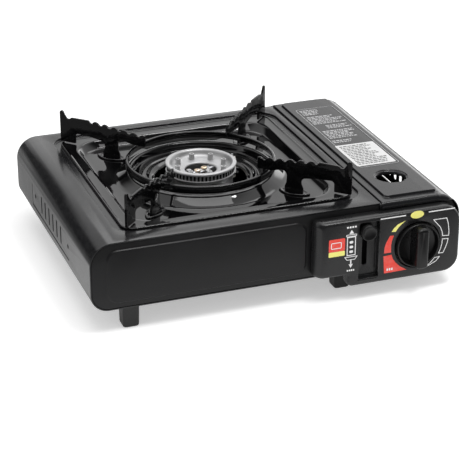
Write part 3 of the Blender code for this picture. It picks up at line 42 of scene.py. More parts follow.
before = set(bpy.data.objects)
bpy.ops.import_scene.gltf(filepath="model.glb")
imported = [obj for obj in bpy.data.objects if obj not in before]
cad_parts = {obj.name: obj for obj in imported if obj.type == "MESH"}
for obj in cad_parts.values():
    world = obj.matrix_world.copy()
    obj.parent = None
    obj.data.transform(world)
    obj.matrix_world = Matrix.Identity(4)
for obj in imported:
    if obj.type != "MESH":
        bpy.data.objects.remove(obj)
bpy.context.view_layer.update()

import math
import random

import bmesh
import bpy
from bpy.props import FloatProperty, FloatVectorProperty, IntProperty, PointerProperty
from mathutils import Matrix, Vector

# ---------------------------------------------------------------- places on the frame
SHELL_LOW, SHELL_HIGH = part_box("body_shell")
TRAY_LOW, TRAY_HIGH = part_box("drip_tray")
RING_LOW, RING_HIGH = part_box("trivet_ring")
HEAD_LOW, HEAD_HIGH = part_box("burner_head")
BOWL_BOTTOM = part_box("burner_base")[0].z
LID_LOW, LID_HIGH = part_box("gas_lid")
FASCIA_LOW, FASCIA_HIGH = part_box("control_panel")
KNOB_LOW, KNOB_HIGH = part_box("control_knob")
LEVER_LOW, LEVER_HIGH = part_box("lock_lever")
ARM_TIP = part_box("trivet_arm_fl")[1].z

LEFT = SHELL_LOW.x
RIGHT = SHELL_HIGH.x
FRONT = SHELL_LOW.y
BACK = SHELL_HIGH.y
MIDDLE = (FRONT + BACK) / 2.0
UNDERSIDE = SHELL_LOW.z
TOP = SHELL_HIGH.z
SHEET = 0.001
GAP = 0.0003
BURNER = Vector(((HEAD_LOW.x + HEAD_HIGH.x) / 2.0, (HEAD_LOW.y + HEAD_HIGH.y) / 2.0, 0.0))
LEDGE = TRAY_HIGH.z - 0.0018 - GAP
TRAY_FLOOR = TOP - 0.008
LID_LEFT = LID_LOW.x
LID_HOLE = Vector((0.1255, FRONT + 0.047, LID_HIGH.z))
FACE = FASCIA_LOW.y
KNOB = Vector(((KNOB_LOW.x + KNOB_HIGH.x) / 2.0, FACE, (KNOB_LOW.z + KNOB_HIGH.z) / 2.0))
LEVER = Vector(((LEVER_LOW.x + LEVER_HIGH.x) / 2.0, FACE, (LEVER_LOW.z + LEVER_HIGH.z) / 2.0))
ARM_ANGLES = {"fl": 226.0, "fr": 314.0, "bl": 134.0, "br": 46.0}

SUPPORT = "pan_support"


# ================================================================ settings a user would change
class StoveSizes(bpy.types.PropertyGroup):
    """Sizes of the finished surfaces."""

    ports: IntProperty(
        name="Flame ports", description="Slots round the skirt of the burner", default=56, min=12, max=120)
    arm_edge: FloatProperty(
        name="Arm edge", description="Rounding of the enamelled arm edges",
        default=0.00055, min=0.0001, max=0.0008, unit="LENGTH")
    lid_press: FloatProperty(
        name="Lid pressing", description="Height of the raised panel of the lid",
        default=0.0020, min=0.0005, max=0.003, unit="LENGTH")
    plate_press: FloatProperty(
        name="Plate pressing", description="Height of the raised panel of the end plates",
        default=0.0014, min=0.0005, max=0.002, unit="LENGTH")
    seam: FloatProperty(
        name="Folded edge", description="Rounding of the folded sheet edges",
        default=0.0004, min=0.0001, max=0.0008, unit="LENGTH")


class StoveColours(bpy.types.PropertyGroup):
    """Colours of the finishes."""

    paint: FloatVectorProperty(
        name="Paint", description="Satin paint of the body and the lid", subtype="COLOR",
        size=3, min=0.0, max=1.0, default=(0.0060, 0.0060, 0.0068))
    plate: FloatVectorProperty(
        name="Plate paint", description="Matt paint of the end plates", subtype="COLOR",
        size=3, min=0.0, max=1.0, default=(0.0062, 0.0062, 0.0066))
    enamel: FloatVectorProperty(
        name="Enamel", description="Glass enamel of the tray and the pan support", subtype="COLOR",
        size=3, min=0.0, max=1.0, default=(0.0015, 0.0015, 0.0017))
    plastic: FloatVectorProperty(
        name="Plastic", description="Moulded plastic of the fascia", subtype="COLOR",
        size=3, min=0.0, max=1.0, default=(0.0095, 0.0095, 0.0100))
    red: FloatVectorProperty(
        name="Red ink", description="Red print on the fascia", subtype="COLOR",
        size=3, min=0.0, max=1.0, default=(0.78, 0.055, 0.035))
    yellow: FloatVectorProperty(
        name="Yellow ink", description="Yellow print on the fascia", subtype="COLOR",
        size=3, min=0.0, max=1.0, default=(0.84, 0.80, 0.20))
    white: FloatVectorProperty(
        name="White ink", description="White print and the sticker", subtype="COLOR",
        size=3, min=0.0, max=1.0, default=(0.78, 0.78, 0.78))


# ================================================================ shapes
def arc(a, b, radius, start, end, steps):
    """Points on an arc, angles in degrees, both ends included."""
    found = []
    for i in range(steps + 1):
        angle = math.radians(start + (end - start) * i / steps)
        found.append((a + radius * math.cos(angle), b + radius * math.sin(angle)))
    return found


def rounded(a0, a1, b0, b1, radius, steps=6, side_steps=1):
    """A closed rounded rectangle, counter-clockwise from its lower right corner."""
    corners = [
        (a1 - radius, b0 + radius, -90.0),
        (a1 - radius, b1 - radius, 0.0),
        (a0 + radius, b1 - radius, 90.0),
        (a0 + radius, b0 + radius, 180.0),
    ]
    bends = [arc(a, b, radius, start, start + 90.0, steps) for a, b, start in corners]
    found = []
    for i, bend in enumerate(bends):
        here = Vector(bend[-1])
        onward = Vector(bends[(i + 1) % 4][0])
        found += bend + [tuple(here.lerp(onward, k / side_steps)) for k in range(1, side_steps)]
    return found


def loft(loops, cap_start=False, cap_end=False, ring=False, closed=True):
    """Bridge loops of equal length into one surface."""
    bm = bmesh.new()
    rows = [[bm.verts.new(point) for point in loop] for loop in loops]
    pairs = list(zip(rows, rows[1:])) + ([(rows[-1], rows[0])] if ring else [])
    for row, following in pairs:
        count = len(row)
        for i in range(count if closed else count - 1):
            j = (i + 1) % count
            bm.faces.new((row[i], row[j], following[j], following[i]))
    if cap_start:
        bm.faces.new(rows[0])
    if cap_end:
        bm.faces.new(rows[-1])
    return bm


PLANES = {
    "xy": lambda a, b, depth: Vector((a, b, depth)),
    "xz": lambda a, b, depth: Vector((a, depth, b)),
    "yz": lambda a, b, depth: Vector((depth, a, b)),
}


def slab(outline, plane, start, end):
    """A straight extrusion of a closed outline."""
    place = PLANES[plane]
    return loft([[place(a, b, d) for a, b in outline] for d in (start, end)], True, True)


def turned(profile, steps, spot, facing="z", ring=False):
    """A profile of (radius, height) turned round an axis through a spot."""
    bm = loft([[Vector((a, b, h)) for a, b in arc(0.0, 0.0, r, 0.0, 360.0, steps)[:-1]] for r, h in profile],
              not ring, not ring, ring)
    if facing == "-y":
        bm.transform(Matrix.Rotation(math.radians(90.0), 4, "X"))
    bm.transform(Matrix.Translation(spot))
    return bm


def rod(points, radius, sides=14, wall=None):
    """A round rod, or a tube when it has a wall, along a smooth line through the points."""
    route = [Vector(p) for p in points]
    line = []
    for i in range(len(route) - 1):
        before = route[max(i - 1, 0)]
        after = route[min(i + 2, len(route) - 1)]
        for k in range(6):
            t = k / 6.0
            a, b = route[i], route[i + 1]
            line.append(0.5 * ((2.0 * a) + (b - before) * t + (2.0 * before - 5.0 * a + 4.0 * b - after) * t * t
                               + (3.0 * a - before - 3.0 * b + after) * t ** 3))
    line.append(route[-1])
    side = None
    outer, inner = [], []
    for i, point in enumerate(line):
        ahead = (line[min(i + 1, len(line) - 1)] - line[max(i - 1, 0)]).normalized()
        side = side or ahead.orthogonal().normalized()
        side = (side - ahead * side.dot(ahead)).normalized()
        up = ahead.cross(side)
        spokes = [side * a + up * b for a, b in arc(0.0, 0.0, 1.0, 0.0, 360.0, sides)[:-1]]
        outer.append([point + s * radius for s in spokes])
        if wall:
            inner.append([point + s * (radius - wall) for s in spokes])
    return loft(outer + inner[::-1], ring=True) if wall else loft(outer, True, True)


def together(*parts):
    """Several meshes as one."""
    whole = bmesh.new()
    for part in parts:
        mesh = bpy.data.meshes.new("part")
        part.to_mesh(mesh)
        part.free()
        whole.from_mesh(mesh)
        bpy.data.meshes.remove(mesh)
    return whole


def plain_object(name, bm, smooth=40.0):
    """An object in the scene with the mesh that was drawn."""
    bmesh.ops.recalc_face_normals(bm, faces=bm.faces)
    mesh = bpy.data.meshes.new(name)
    bm.to_mesh(mesh)
    bm.free()
    mesh.shade_smooth()
    mesh.set_sharp_from_angle(angle=math.radians(smooth))
    made = bpy.data.objects.new(name, mesh)
    bpy.context.scene.collection.objects.link(made)
    return made


def soften(made, edge, segments, angle):
    """Round the edges of an object that are sharper than an angle."""
    soft = made.modifiers.new("edge", "BEVEL")
    soft.width = edge
    soft.segments = segments
    soft.limit_method = "ANGLE"
    soft.angle_limit = math.radians(angle)


def settle(made):
    """Turn an object's modifiers into its own mesh."""
    bpy.context.view_layer.update()
    final = bpy.data.meshes.new_from_object(made.evaluated_get(bpy.context.evaluated_depsgraph_get()))
    made.modifiers.clear()
    made.data = final


def shape(made, cuts=(), joins=(), sheet=0.0, edge=0.0, segments=2, angle=30.0, smooth=40.0):
    """Thicken a surface, cut and join it, round its edges, and keep the result."""
    if sheet:
        thick = made.modifiers.new("sheet", "SOLIDIFY")
        thick.thickness = abs(sheet)
        thick.offset = -1.0 if sheet > 0.0 else 1.0
        thick.use_even_offset = True
    tools = []
    for operation, parts in (("UNION", joins), ("DIFFERENCE", cuts)):
        for bm in parts:
            tool = plain_object("tool", bm)
            tools.append(tool)
            step = made.modifiers.new("tool", "BOOLEAN")
            step.operation = operation
            step.solver = "EXACT"
            step.object = tool
    if edge:
        soften(made, edge, segments, angle)
    settle(made)
    for tool in tools:
        bpy.data.objects.remove(tool, do_unlink=True)
    made.data.shade_smooth()
    made.data.set_sharp_from_angle(angle=math.radians(smooth))
    return made


def piece(name, bm, finish, body, slot, stands_for=(), **shaping):
    """A finished piece that rides on a body; its slot argument is not used."""
    made = plain_object(name, bm, shaping.get("smooth", 40.0))
    if shaping:
        shape(made, **shaping)
    return dress(made, finish, body, stands_for)


def dress(made, finish, body, stands_for=()):
    """Give a shaped object its finish, its body and the nodes it stands for."""
    made.data.materials.clear()
    made.data.materials.append(finish)
    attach(made, body)
    if stands_for:
        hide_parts(*stands_for)
    return made


# ================================================================ shader groups
class Board:
    """A small hand for wiring nodes."""

    def __init__(self, tree):
        self.tree = tree

    def put(self, kind, values=None, **settings):
        node = self.tree.nodes.new(kind)
        for key, value in settings.items():
            setattr(node, key, value)
        for key, value in (values or {}).items():
            if isinstance(value, bpy.types.NodeSocket):
                self.tree.links.new(value, node.inputs[key])
            else:
                node.inputs[key].default_value = value
        return node

    def math(self, operation, a, b=0.0):
        node = self.put("ShaderNodeMath", {0: a, 1: b}, operation=operation, use_clamp=False)
        return node.outputs[0]

    def span(self, value, low, high, to_low=0.0, to_high=1.0, smooth=True):
        node = self.put("ShaderNodeMapRange", {"Value": value, "From Min": low, "From Max": high,
                                               "To Min": to_low, "To Max": to_high})
        node.interpolation_type = "SMOOTHSTEP" if smooth else "LINEAR"
        return node.outputs["Result"]

    def noise(self, where, scale, detail=3.0, rough=0.55):
        return self.put("ShaderNodeTexNoise", {"Vector": where, "Scale": scale, "Detail": detail,
                                               "Roughness": rough}).outputs["Fac"]


def new_group(name, inputs, outputs):
    """An empty shader group with named sockets."""
    tree = bpy.data.node_groups.new(name, "ShaderNodeTree")
    for label, default in inputs:
        socket = tree.interface.new_socket(label, in_out="INPUT", socket_type="NodeSocketFloat")
        socket.default_value = default
    for label in outputs:
        tree.interface.new_socket(label, in_out="OUTPUT", socket_type="NodeSocketFloat")
    board = Board(tree)
    return tree, board, board.put("NodeGroupInput").outputs, board.put("NodeGroupOutput").inputs


def surface_grain_group():
    """Fine unevenness of a sprayed, cast or moulded surface, and its cloudy tone."""
    tree, board, given, out = new_group(
        "Surface Grain", [("Grain Size", 900.0), ("Cloud Size", 30.0), ("Coarseness", 0.5)], ["Height", "Tone"])
    where = board.put("ShaderNodeTexCoord").outputs["Object"]
    fine = board.noise(where, given["Grain Size"], 2.0, given["Coarseness"])
    cloud = board.noise(where, given["Cloud Size"], 4.0)
    tree.links.new(board.math("ADD", fine, board.math("MULTIPLY", cloud, 0.25)), out["Height"])
    tree.links.new(board.span(cloud, 0.3, 0.7), out["Tone"])
    return tree


def edge_wear_group():
    """Where edges have rubbed, broken up by noise."""
    tree, board, given, out = new_group("Edge Wear", [("Amount", 0.5), ("Break Size", 220.0)], ["Mask"])
    where = board.put("ShaderNodeTexCoord").outputs["Object"]
    sharp = board.span(board.put("ShaderNodeNewGeometry").outputs["Pointiness"], 0.52, 0.60)
    broken = board.span(board.noise(where, given["Break Size"], 4.0), 0.42, 0.62)
    tree.links.new(board.math("MULTIPLY", board.math("MULTIPLY", sharp, broken), given["Amount"]), out["Mask"])
    return tree


def fine_dust_group():
    """A thin film that settles on surfaces that face up."""
    tree, board, given, out = new_group("Fine Dust", [("Amount", 0.2), ("Patch Size", 45.0)], ["Mask"])
    where = board.put("ShaderNodeTexCoord").outputs["Object"]
    normal = board.put("ShaderNodeNewGeometry").outputs["Normal"]
    up = board.span(board.put("ShaderNodeSeparateXYZ", {0: normal}).outputs["Z"], 0.4, 1.0)
    patch = board.span(board.noise(where, given["Patch Size"], 6.0, 0.65), 0.35, 0.75)
    tree.links.new(board.math("MULTIPLY", board.math("MULTIPLY", up, patch), given["Amount"]), out["Mask"])
    return tree


def hairline_group():
    """Fine wiped or drawn lines, long one way."""
    tree, board, given, out = new_group("Hairlines", [("Fineness", 900.0), ("Amount", 0.3)], ["Mask"])
    where = board.put("ShaderNodeTexCoord").outputs["Object"]
    stretched = board.put("ShaderNodeVectorMath", {0: where, 1: (0.04, 1.0, 0.6)}, operation="MULTIPLY")
    lines = board.noise(stretched.outputs[0], given["Fineness"], 2.0, 0.6)
    tree.links.new(board.math("MULTIPLY", board.span(lines, 0.45, 0.75), given["Amount"]), out["Mask"])
    return tree


def turning_group():
    """Shallow rings left by a lathe, round an upright axis."""
    tree, board, given, out = new_group(
        "Turning Rings", [("Axis X", 0.0), ("Axis Y", 0.0), ("Pitch", 0.0006)], ["Height"])
    where = board.put("ShaderNodeTexCoord").outputs["Object"]
    split = board.put("ShaderNodeSeparateXYZ", {0: where}).outputs
    x = board.math("SUBTRACT", split["X"], given["Axis X"])
    y = board.math("SUBTRACT", split["Y"], given["Axis Y"])
    radius = board.math("SQRT", board.math("ADD", board.math("MULTIPLY", x, x), board.math("MULTIPLY", y, y)))
    turns = board.math("MULTIPLY", board.math("DIVIDE", radius, given["Pitch"]), 2.0 * math.pi)
    tree.links.new(board.math("SINE", turns), out["Height"])
    return tree


GROUPS = {}
FINISHES = {}

# name: colour or setting name, cloud colour factor, roughness, its spread, metallic, specular,
#       grain size, grain depth, wear, wear colour, dust, hairlines
FINISH_TABLE = {
    "satin_paint": ("paint", 1.4, 0.19, 0.025, 0.0, 0.50, 1500.0, 0.000012, 0.10, 0.08, 0.01, 0.02),
    "plate_paint": ("plate", 1.3, 0.34, 0.04, 0.0, 0.30, 1800.0, 0.00002, 0.10, 0.08, 0.01, 0.02),
    "glass_enamel": ("enamel", 1.8, 0.06, 0.03, 0.0, 0.50, 260.0, 0.00016, 0.05, 0.10, 0.0, 0.02),
    "tray_enamel": ("enamel", 1.8, 0.05, 0.03, 0.0, 0.62, 90.0, 0.00004, 0.05, 0.10, 0.005, 0.01),
    "cast_aluminium": ((0.50, 0.50, 0.505), 0.93, 0.50, 0.05, 0.90, 0.5, 1600.0, 0.00003, 0.3, 0.9, 0.0, 0.02),
    # near-black finish painted into the flame-port slots as shade
    "port_dark": ((0.02, 0.02, 0.02), 0.8, 0.60, 0.08, 0.3, 0.5, 1400.0, 0.00006, 0.0, 0.5, 0.0, 0.02),
    "zinc_plate": ((0.60, 0.61, 0.63), 0.86, 0.30, 0.12, 1.0, 0.5, 700.0, 0.00003, 0.5, 0.85, 0.0, 0.12),
    "turned_brass": ((0.82, 0.66, 0.48), 0.86, 0.26, 0.08, 1.0, 0.5, 900.0, 0.00003, 0.6, 0.9, 0.0, 0.10),
    "fascia_plastic": ("plastic", 1.25, 0.27, 0.04, 0.0, 0.42, 2600.0, 0.00003, 0.25, 0.06, 0.015, 0.03),
    "knob_plastic": ((0.004, 0.004, 0.0042), 1.3, 0.30, 0.04, 0.0, 0.36, 2200.0, 0.00002, 0.35, 0.05, 0.01,
                     0.03),
    "diecast": ((0.42, 0.42, 0.43), 0.85, 0.48, 0.10, 1.0, 0.5, 900.0, 0.00008, 0.5, 0.7, 0.0, 0.04),
    "foot_plastic": ((0.010, 0.010, 0.010), 1.5, 0.48, 0.08, 0.0, 0.4, 1200.0, 0.00005, 0.4, 0.05, 0.05, 0.02),
    "glazed_ceramic": ((0.80, 0.78, 0.73), 0.94, 0.22, 0.05, 0.0, 0.55, 600.0, 0.00002, 0.1, 0.9, 0.0, 0.0),
    "silicone": ((0.02, 0.02, 0.02), 0.85, 0.50, 0.08, 0.0, 0.4, 900.0, 0.00003, 0.0, 0.5, 0.02, 0.0),
    "white_ink": ("white", 0.96, 0.45, 0.06, 0.0, 0.35, 2500.0, 0.00001, 0.1, 0.5, 0.0, 0.02),
    "dark_ink": ((0.10, 0.10, 0.10), 0.9, 0.45, 0.06, 0.0, 0.35, 2500.0, 0.00001, 0.1, 0.5, 0.0, 0.02),
    "grey_ink": ((0.60, 0.60, 0.61), 0.9, 0.45, 0.06, 0.0, 0.35, 2500.0, 0.00001, 0.1, 0.5, 0.0, 0.02),
    "red_ink": ("red", 0.92, 0.42, 0.06, 0.0, 0.35, 2500.0, 0.00001, 0.1, 0.5, 0.0, 0.02),
    "yellow_ink": ("yellow", 0.94, 0.42, 0.06, 0.0, 0.35, 2500.0, 0.00001, 0.1, 0.5, 0.0, 0.02),
}


def finish(name):
    """The named finish, made on its first use."""
    if name in FINISHES:
        return FINISHES[name]
    (base, cloud, rough, spread, metallic, specular, grain, depth, wear, wear_tone, dust,
     lines) = FINISH_TABLE[name]
    if isinstance(base, str):
        base = tuple(getattr(bpy.context.scene.stove_colours, base))
    material = bpy.data.materials.new(name)
    material.use_nodes = True
    tree = material.node_tree
    board = Board(tree)
    shader = tree.nodes["Principled BSDF"]
    shader.inputs["Metallic"].default_value = metallic
    shader.inputs["Specular IOR Level"].default_value = specular

    def use(group, values):
        return board.put("ShaderNodeGroup", values, node_tree=GROUPS[group]).outputs

    skin = use("grain", {"Grain Size": grain, "Cloud Size": 28.0})
    worn = use("wear", {"Amount": wear})["Mask"]
    film = use("dust", {"Amount": dust})["Mask"]
    drawn = use("hairline", {"Amount": lines})["Mask"]
    colour = (*base, 1.0)
    clouded = (*[min(1.0, c * cloud) for c in base], 1.0)
    rubbed = (*[min(1.0, wear_tone * (0.9 + 0.1 * c)) for c in base], 1.0)
    mix = board.put("ShaderNodeMix", {"Factor": skin["Tone"], "A": colour, "B": clouded}, data_type="RGBA")
    mix = board.put("ShaderNodeMix", {"Factor": worn, "A": mix.outputs["Result"], "B": rubbed},
                    data_type="RGBA")
    settled = (0.30, 0.29, 0.28, 1.0)
    mix = board.put("ShaderNodeMix", {"Factor": film, "A": mix.outputs["Result"], "B": settled},
                    data_type="RGBA")
    tree.links.new(mix.outputs["Result"], shader.inputs["Base Color"])
    dull = board.span(skin["Tone"], 0.0, 1.0, rough - spread, rough + spread, False)
    dull = board.math("ADD", dull, board.math("MULTIPLY", drawn, 0.5))
    dull = board.math("ADD", dull, board.math("MULTIPLY", film, 0.8))
    tree.links.new(dull, shader.inputs["Roughness"])
    height = board.math("SUBTRACT", skin["Height"], board.math("MULTIPLY", drawn, 0.6 * metallic))
    if name == "cast_aluminium":
        rings = use("turning", {"Axis X": BURNER.x, "Axis Y": BURNER.y, "Pitch": 0.0007})["Height"]
        height = board.math("ADD", height, board.math("MULTIPLY", rings, 0.25))
    bump = board.put("ShaderNodeBump", {"Strength": 1.0, "Distance": depth, "Height": height})
    tree.links.new(bump.outputs["Normal"], shader.inputs["Normal"])
    FINISHES[name] = material
    return material


def keep_node(node, name, edge=0.0):
    """Give a frame node that is shown as it is its finish and soft edges."""
    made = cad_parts[node]
    made.data.materials.clear()
    made.data.materials.append(finish(name))
    if edge:
        soften(made, edge, 2, 35.0)


# ================================================================ body sheet
CORNER_TOP = 0.020
CORNER_LOW = 0.016
CORNER_RIGHT = 0.008
OPENING_MARGIN = 0.0075
LOUVRE_COUNT = 6
LOUVRE_PITCH = 0.0138
LOUVRE_WIDTH = 0.0034
LOUVRE_LOW = 0.046
LOUVRE_HIGH = 0.063
GROOVE_WIDTH = 0.0014
GROOVE_DEPTH = 0.0007
GROOVE_Z = 0.0408


def wrap(inset):
    """The bent section of the body sheet, from its top edge round to its right wall."""
    return [(LID_LEFT - SHEET, TOP - inset),
            *arc(LEFT + CORNER_TOP, TOP - CORNER_TOP, CORNER_TOP - inset, 90.0, 180.0, 22),
            *arc(LEFT + CORNER_LOW, UNDERSIDE + CORNER_LOW, CORNER_LOW - inset, 180.0, 270.0, 16),
            *arc(RIGHT - CORNER_RIGHT, UNDERSIDE + CORNER_RIGHT, CORNER_RIGHT - inset, -90.0, 0.0, 8),
            (RIGHT - inset, LID_LOW.z - 0.0015)]


def tray_loop(inset, height, steps=8, side_steps=10, corner=None):
    """A rounded rectangle round the tray, moved in from its rim."""
    radius = corner or max(0.012 - inset, 0.002)
    outline = rounded(TRAY_LOW.x + inset, TRAY_HIGH.x - inset, TRAY_LOW.y + inset, TRAY_HIGH.y - inset,
                      radius, steps, side_steps)
    return [Vector((x, y, height)) for x, y in outline]


def slot_cutters(centre, pitch, width, wall_x):
    """Cutters for a row of round-ended louvre slits in a side wall."""
    cutters = []
    for i in range(LOUVRE_COUNT):
        y = centre + (i - (LOUVRE_COUNT - 1) / 2.0) * pitch
        outline = rounded(y - width / 2.0, y + width / 2.0, LOUVRE_LOW, LOUVRE_HIGH, width * 0.49, 5)
        cutters.append(slab(outline, "yz", wall_x - 0.004, wall_x + 0.004))
    return cutters


class STOVE_OT_body_sheet(bpy.types.Operator):
    """Build the bent body sheet with its louvres, and the ledge round the tray"""

    bl_idname = "stove.body_sheet"
    bl_label = "Body sheet"

    def execute(self, context):
        sizes = context.scene.stove_sizes
        paint = finish("satin_paint")
        opening = [(p.x, p.y) for p in tray_loop(-OPENING_MARGIN, 0.0, 10, 1)]
        cuts = [slab(opening, "xy", TOP - 0.004, TOP + 0.004)]
        cuts += slot_cutters(MIDDLE, LOUVRE_PITCH, LOUVRE_WIDTH, LEFT)
        for y, z in ((MIDDLE + 0.058, 0.054), (MIDDLE - 0.059, 0.054)):
            cuts.append(slab(arc(y, z, 0.0021, 0.0, 360.0, 16)[:-1], "yz", LEFT - 0.004, LEFT + 0.004))
        for i in range(5):
            x = BURNER.x + (i - 2) * 0.016
            cuts.append(slab(rounded(x - 0.003, x + 0.003, MIDDLE - 0.085, MIDDLE - 0.045, 0.0029),
                             "xy", UNDERSIDE - 0.002, UNDERSIDE + 0.003))
        trough_low, trough_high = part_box("cartridge_cradle")
        reach = 0.0246
        centre = (trough_low.x + trough_high.x) / 2.0
        cuts.append(slab(rounded(centre - reach, centre + reach, trough_low.y - 0.001, trough_high.y + 0.001,
                                 0.001),
                         "xy", UNDERSIDE - 0.002, UNDERSIDE + 0.003))
        groove_end = MIDDLE + 0.070
        bend = GROOVE_WIDTH * 0.4
        for line in (rounded(MIDDLE - 0.061, groove_end, GROOVE_Z, GROOVE_Z + GROOVE_WIDTH, bend, 3),
                     rounded(groove_end - GROOVE_WIDTH, groove_end, GROOVE_Z, 0.062, bend, 3)):
            cuts.append(slab(line, "yz", LEFT - 0.002, LEFT + GROOVE_DEPTH))
        piece("body_sheet", slab(wrap(0.0) + wrap(SHEET)[::-1], "xz", FRONT, BACK), paint, "body",
              "painted_steel", ["body_shell"], cuts=cuts, edge=sizes.seam, segments=3)
        bend = 0.0009
        lip = -OPENING_MARGIN
        upper = [(lip - 0.0010, TOP), (lip - 0.0002, TOP)]
        for t in (0.0, 0.4, 0.8, 1.2, 1.55):
            upper.append((lip + 0.0002 + bend * math.sin(t), TOP - bend * (1.0 - math.cos(t))))
        upper.append((lip + 0.0011, LEDGE + bend))
        for t in (0.4, 0.8, 1.2, 1.57):
            upper.append((lip + 0.0011 + bend * (1.0 - math.cos(t)), LEDGE + bend * (1.0 - math.sin(t))))
        upper.append((lip + 0.0110, LEDGE))
        ledge = loft([tray_loop(d, z - 0.00002) for d, z in upper])
        piece("tray_ledge", ledge, paint, "body", "painted_steel", sheet=SHEET)
        for i in range(LOUVRE_COUNT):
            y = MIDDLE + (i - (LOUVRE_COUNT - 1) / 2.0) * LOUVRE_PITCH
            low, high = LOUVRE_LOW + 0.0005, LOUVRE_HIGH - 0.0005
            hood = [(y - 0.0017, low), (y - 0.0017, high), (y - 0.0026, high), (y - 0.0026, low)]
            piece(f"louvre_{i + 1}", slab(hood, "yz", LEFT + 0.0002, LEFT + 0.0032), paint, "body",
                  "painted_steel", edge=0.0004, segments=2)
        return {"FINISHED"}


# ================================================================ end plates
def plate_outline(inset, steps=16):
    """The outline of an end plate, moved in from the outline of the body."""
    points = []
    for x, z, corner, start in ((RIGHT - CORNER_RIGHT, UNDERSIDE + CORNER_RIGHT, CORNER_RIGHT, -90.0),
                                (RIGHT - CORNER_TOP, TOP - CORNER_TOP, CORNER_TOP, 0.0),
                                (LEFT + CORNER_TOP, TOP - CORNER_TOP, CORNER_TOP, 90.0),
                                (LEFT + CORNER_LOW, UNDERSIDE + CORNER_LOW, CORNER_LOW, 180.0)):
        points += arc(x, z, corner - inset, start, start + 90.0, steps)
    return points


class STOVE_OT_end_plates(bpy.types.Operator):
    """Build the pressed end plates with their raised panels"""

    bl_idname = "stove.end_plates"
    bl_label = "End plates"

    def execute(self, context):
        press = context.scene.stove_sizes.plate_press
        bend = [(0.0, 0.0), (0.0002, 0.04), (0.0005, 0.25), (0.0011, 0.75), (0.0014, 0.95), (0.0018, 1.0)]
        for name, node, face, inward, panel_right in (
                ("front_plate", "front_panel", FRONT, 1.0, FASCIA_LOW.x - 0.004),
                ("back_plate", "back_panel", BACK, -1.0, LID_LEFT - 0.008)):
            rim = SHEET + GAP
            rows = [[Vector((x, face + inward * 0.0012, z)) for x, z in plate_outline(rim)],
                    [Vector((x, face + inward * 0.0004, z)) for x, z in plate_outline(rim + 0.0001)],
                    [Vector((x, face + inward * 0.0001, z)) for x, z in plate_outline(rim + 0.0004)],
                    [Vector((x, face, z)) for x, z in plate_outline(rim + 0.0009)]]
            for shrink, rise in bend:
                outline = rounded(LEFT + 0.014 + shrink, panel_right - shrink, UNDERSIDE + 0.0055 + shrink,
                                  TOP - 0.0065 - shrink, 0.010 - shrink * 0.6, 16)
                rows.append([Vector((x, face - inward * press * rise, z)) for x, z in outline])
            piece(name, loft(rows, cap_end=True), finish("plate_paint"), "body", "panel_paint", [node],
                  sheet=SHEET * 0.9, smooth=50.0)
        return {"FINISHED"}


# ================================================================ feet
class STOVE_OT_feet(bpy.types.Operator):
    """Build the square feet with their collars"""

    bl_idname = "stove.feet"
    bl_label = "Feet"

    def execute(self, context):
        for key in ARM_ANGLES:
            low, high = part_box(f"foot_{key}")
            mid = (low + high) / 2.0
            half = 0.0072
            collar = (high.x - low.x) / 2.0
            neck = high.z - 0.0025
            levels = [(half - 0.0022, 0.0), (half - 0.0010, 0.0003), (half - 0.0003, 0.0010), (half, 0.0022),
                      (half + 0.0003, neck - 0.0006), (half + 0.0005, neck - 0.0001), (collar - 0.0005, neck),
                      (collar, neck + 0.0005), (collar, high.z - 0.0003), (collar - 0.0003, high.z)]
            rows = [[Vector((mid.x + a, mid.y + b, z)) for a, b in rounded(-r, r, -r, r, 0.0022, 6)] for r,
                    z in levels]
            bore = turned([(0.0033, -0.001), (0.0033, 0.008)], 24, Vector((mid.x, mid.y, 0.0)))
            piece(f"foot_pad_{key}", loft(rows, True, True), finish("foot_plastic"), "body", "foot_rubber",
                  [f"foot_{key}"], cuts=[bore])
            keep_node(f"foot_screw_{key}", "zinc_plate", 0.0002)
        return {"FINISHED"}


